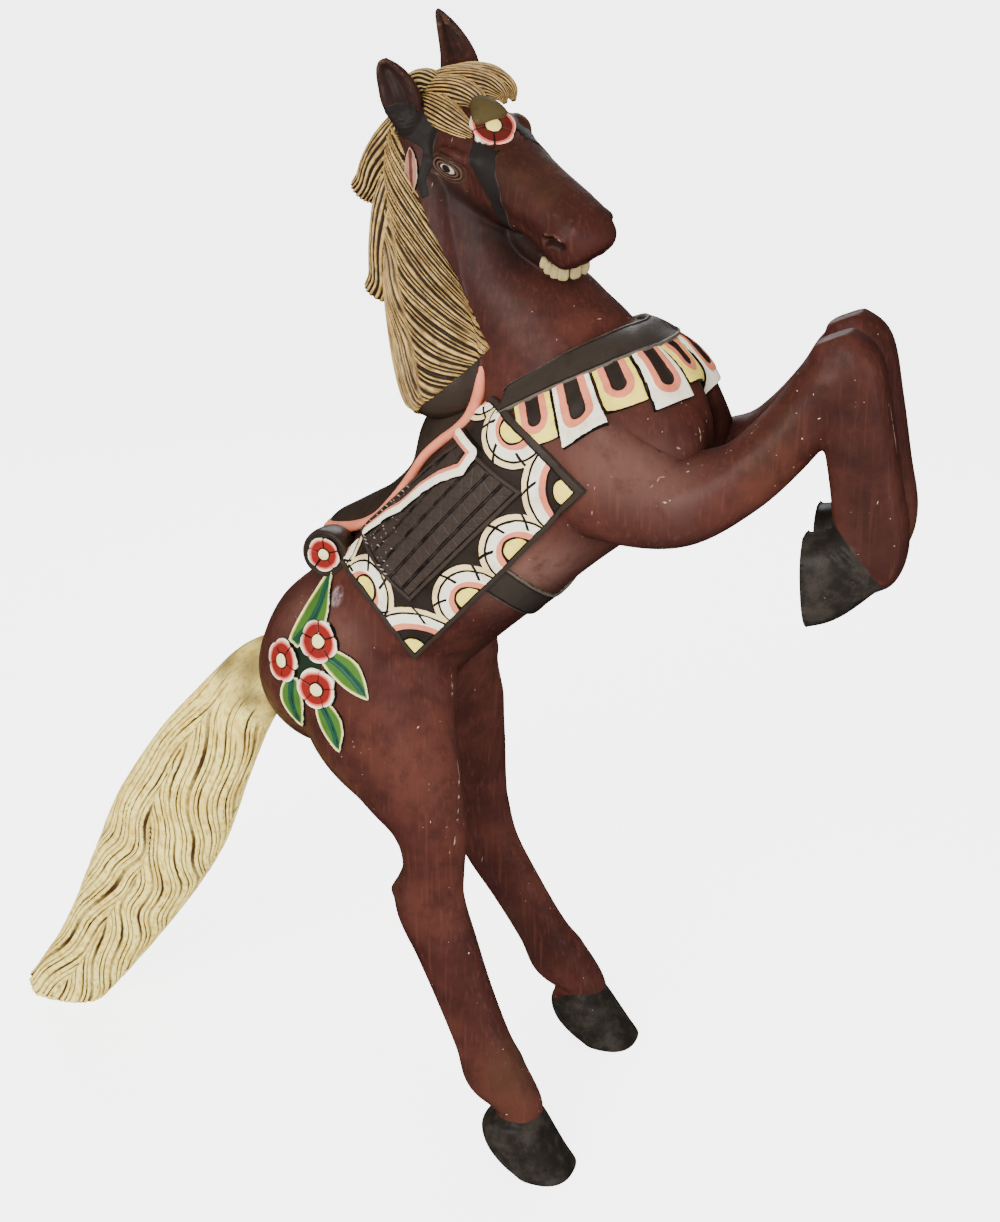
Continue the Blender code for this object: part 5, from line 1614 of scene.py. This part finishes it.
side_leaf_foot, side_leaf_tip = np.array([0.051, -0.053]), np.array([0.024, -0.017])
side_leaf_length, side_leaf_half = np.hypot(*(side_leaf_tip - side_leaf_foot)), 0.0062
leaf_axis = (side_leaf_tip - side_leaf_foot) / side_leaf_length
leaf_pink, leaf_vein, leaf_rim = (0.26, 0.12, 0.08), (0.080, 0.022, 0.017), (0.40, 0.26, 0.17)
side_leaf_bands = [
    ("vein", -1.0, 1.5, leaf_vein), ("rim", -1.0, 1.2, leaf_rim), ("rim", -9.0, 0.4, line_black)]
for side, side_name in sides:
    alongs, ups = np.linspace(0.004, 0.078, 120), np.linspace(-0.078, 0.000, 120)
    places, normals, _, along, up = on_head(alongs, ups, side)
    from_foot = np.stack([along, up], -1) - side_leaf_foot
    share = from_foot @ leaf_axis / side_leaf_length
    gap = np.abs(from_foot[..., 0] * leaf_axis[1] - from_foot[..., 1] * leaf_axis[0])
    outline = side_leaf_half * np.sin(math.pi * np.clip(share, 0, 1)) ** 0.7 - gap
    raised = 0.0030 + 0.0012 * eased(outline, 0.002, 0.0008)
    leaf, used = inlay(f"bridle_leaf_{side_name}", places, normals, outline, raised)
    carry(leaf, used, rim=outline, vein=gap)
    leaf_name = f"bridle_leaf_paint_{side_name}"
    finished(leaf, hand_paint(leaf_name, leaf_pink, side_leaf_bands, gloss=0.36, chips=0.6))


# ---- Tail -------------------------------------------------------------------------------------
# A separate block of wood, pegged to the rump and painted pale cream.  Long strands run down from
# both sides of a wandering seam, and the end is sawn off level with the ground.

tail_rows = [
    (-0.352, 0.0, 0.524, 0.030, 0.024), (-0.375, 0.0, 0.512, 0.036, 0.028),
    (-0.410, 0.0, 0.487, 0.042, 0.034), (-0.448, 0.0, 0.440, 0.048, 0.040),
    (-0.495, 0.0, 0.368, 0.062, 0.048), (-0.543, 0.0, 0.280, 0.073, 0.052),
    (-0.594, 0.0, 0.190, 0.066, 0.048), (-0.660, 0.0, 0.085, 0.052, 0.038),
    (-0.726, 0.0, 0.000, 0.045, 0.030), (-0.738, 0.0, -0.012, 0.044, 0.029)]
around = 260
grid = oval_loft(tail_rows, squareness=2.3, steps=40, around=around)
spine = grid.mean(1)
run = np.concatenate([[0], np.cumsum(np.linalg.norm(np.diff(spine, axis=0), axis=1))])[:, None]
girths = np.cumsum(np.linalg.norm(np.roll(grid, -1, axis=1) - grid, axis=-1), axis=1)
# How far round each point lies from the middle of the nearer flank, more than 0 towards the back
quarter = around // 4
place_round = np.arange(around)[None]
right_off = girths[:, 2 * quarter, None] - girths
left_off = np.where(place_round > 3 * quarter, girths - girths[:, -1:], girths)
on_right = (place_round >= quarter) & (place_round < 3 * quarter)
off_middle = np.where(on_right, right_off, left_off)
# The seam wanders along the flank, and strands a pitch apart peel away from it up and down
seam = -0.016 * (1 - eased(run, 0.26, 0.34)) + 0.008 * band_between(run, 0.36, 0.40, 0.05)
over_seam = off_middle - seam
tail_pitch, wave_length, wave_depth = 0.0078, 0.105, 0.0042
peel, fall = math.radians(17), math.radians(7)
swing = wave_depth * np.sin(2 * math.pi * run / wave_length + 14 * off_middle + 0.8 * np.sin(run * 17))
back_family = (over_seam * math.cos(peel) - run * math.sin(peel) + swing) / tail_pitch
front_family = (-over_seam * math.cos(fall) - run * math.sin(fall) + 0.8 * swing) / tail_pitch + 0.5
strand = np.where(over_seam > 0, back_family, front_family)
# No two strands are of one width, nor are the grooves between them of one depth or reach
strand = strand + 0.24 * np.sin(2.3 * strand) + 0.05 * np.sin(7.1 * strand)
number = np.round(strand)
chance = np.abs(np.sin(number * 12.9898) * 43758.5453 % 1.0)
first = 0.075 + 0.060 * chance
cut = eased(run, first, first + 0.020) * (0.55 + 0.45 * np.sin(number * 2.4 + run * 26) ** 2)
outward = unit(grid - spine[:, None])
groove_depth, groove_sunk = 0.0042, 0.0030
grid = grid + outward * ((combed(strand, groove_depth, 2.6) - groove_sunk) * cut)[..., None]
tail = new_piece("carved_tail_hair", *closed_tube(grid + stance))
stained = 0.95 * (1 - eased(run, 0.070, 0.150)) * (0.82 + 0.18 * np.sin(run * 95) * np.sin(off_middle * 120))
hair_fields(tail, *(with_ends(field, strand) for field in (strand, run, cut, stained)))
cut_at_ground(tail)
# The tail's grooves are painted dark brown: glaze with painted shade
tail_cream, tail_glaze, tail_groove = (1.0, 0.82, 0.23), (0.66, 0.40, 0.060), (0.045, 0.020, 0.006)
tail_paint = hair_paint("tail_paint", tail_cream, tail_glaze, tail_groove, 0.22, 0.60)
finished(tail, tail_paint)
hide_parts("carved_tail")
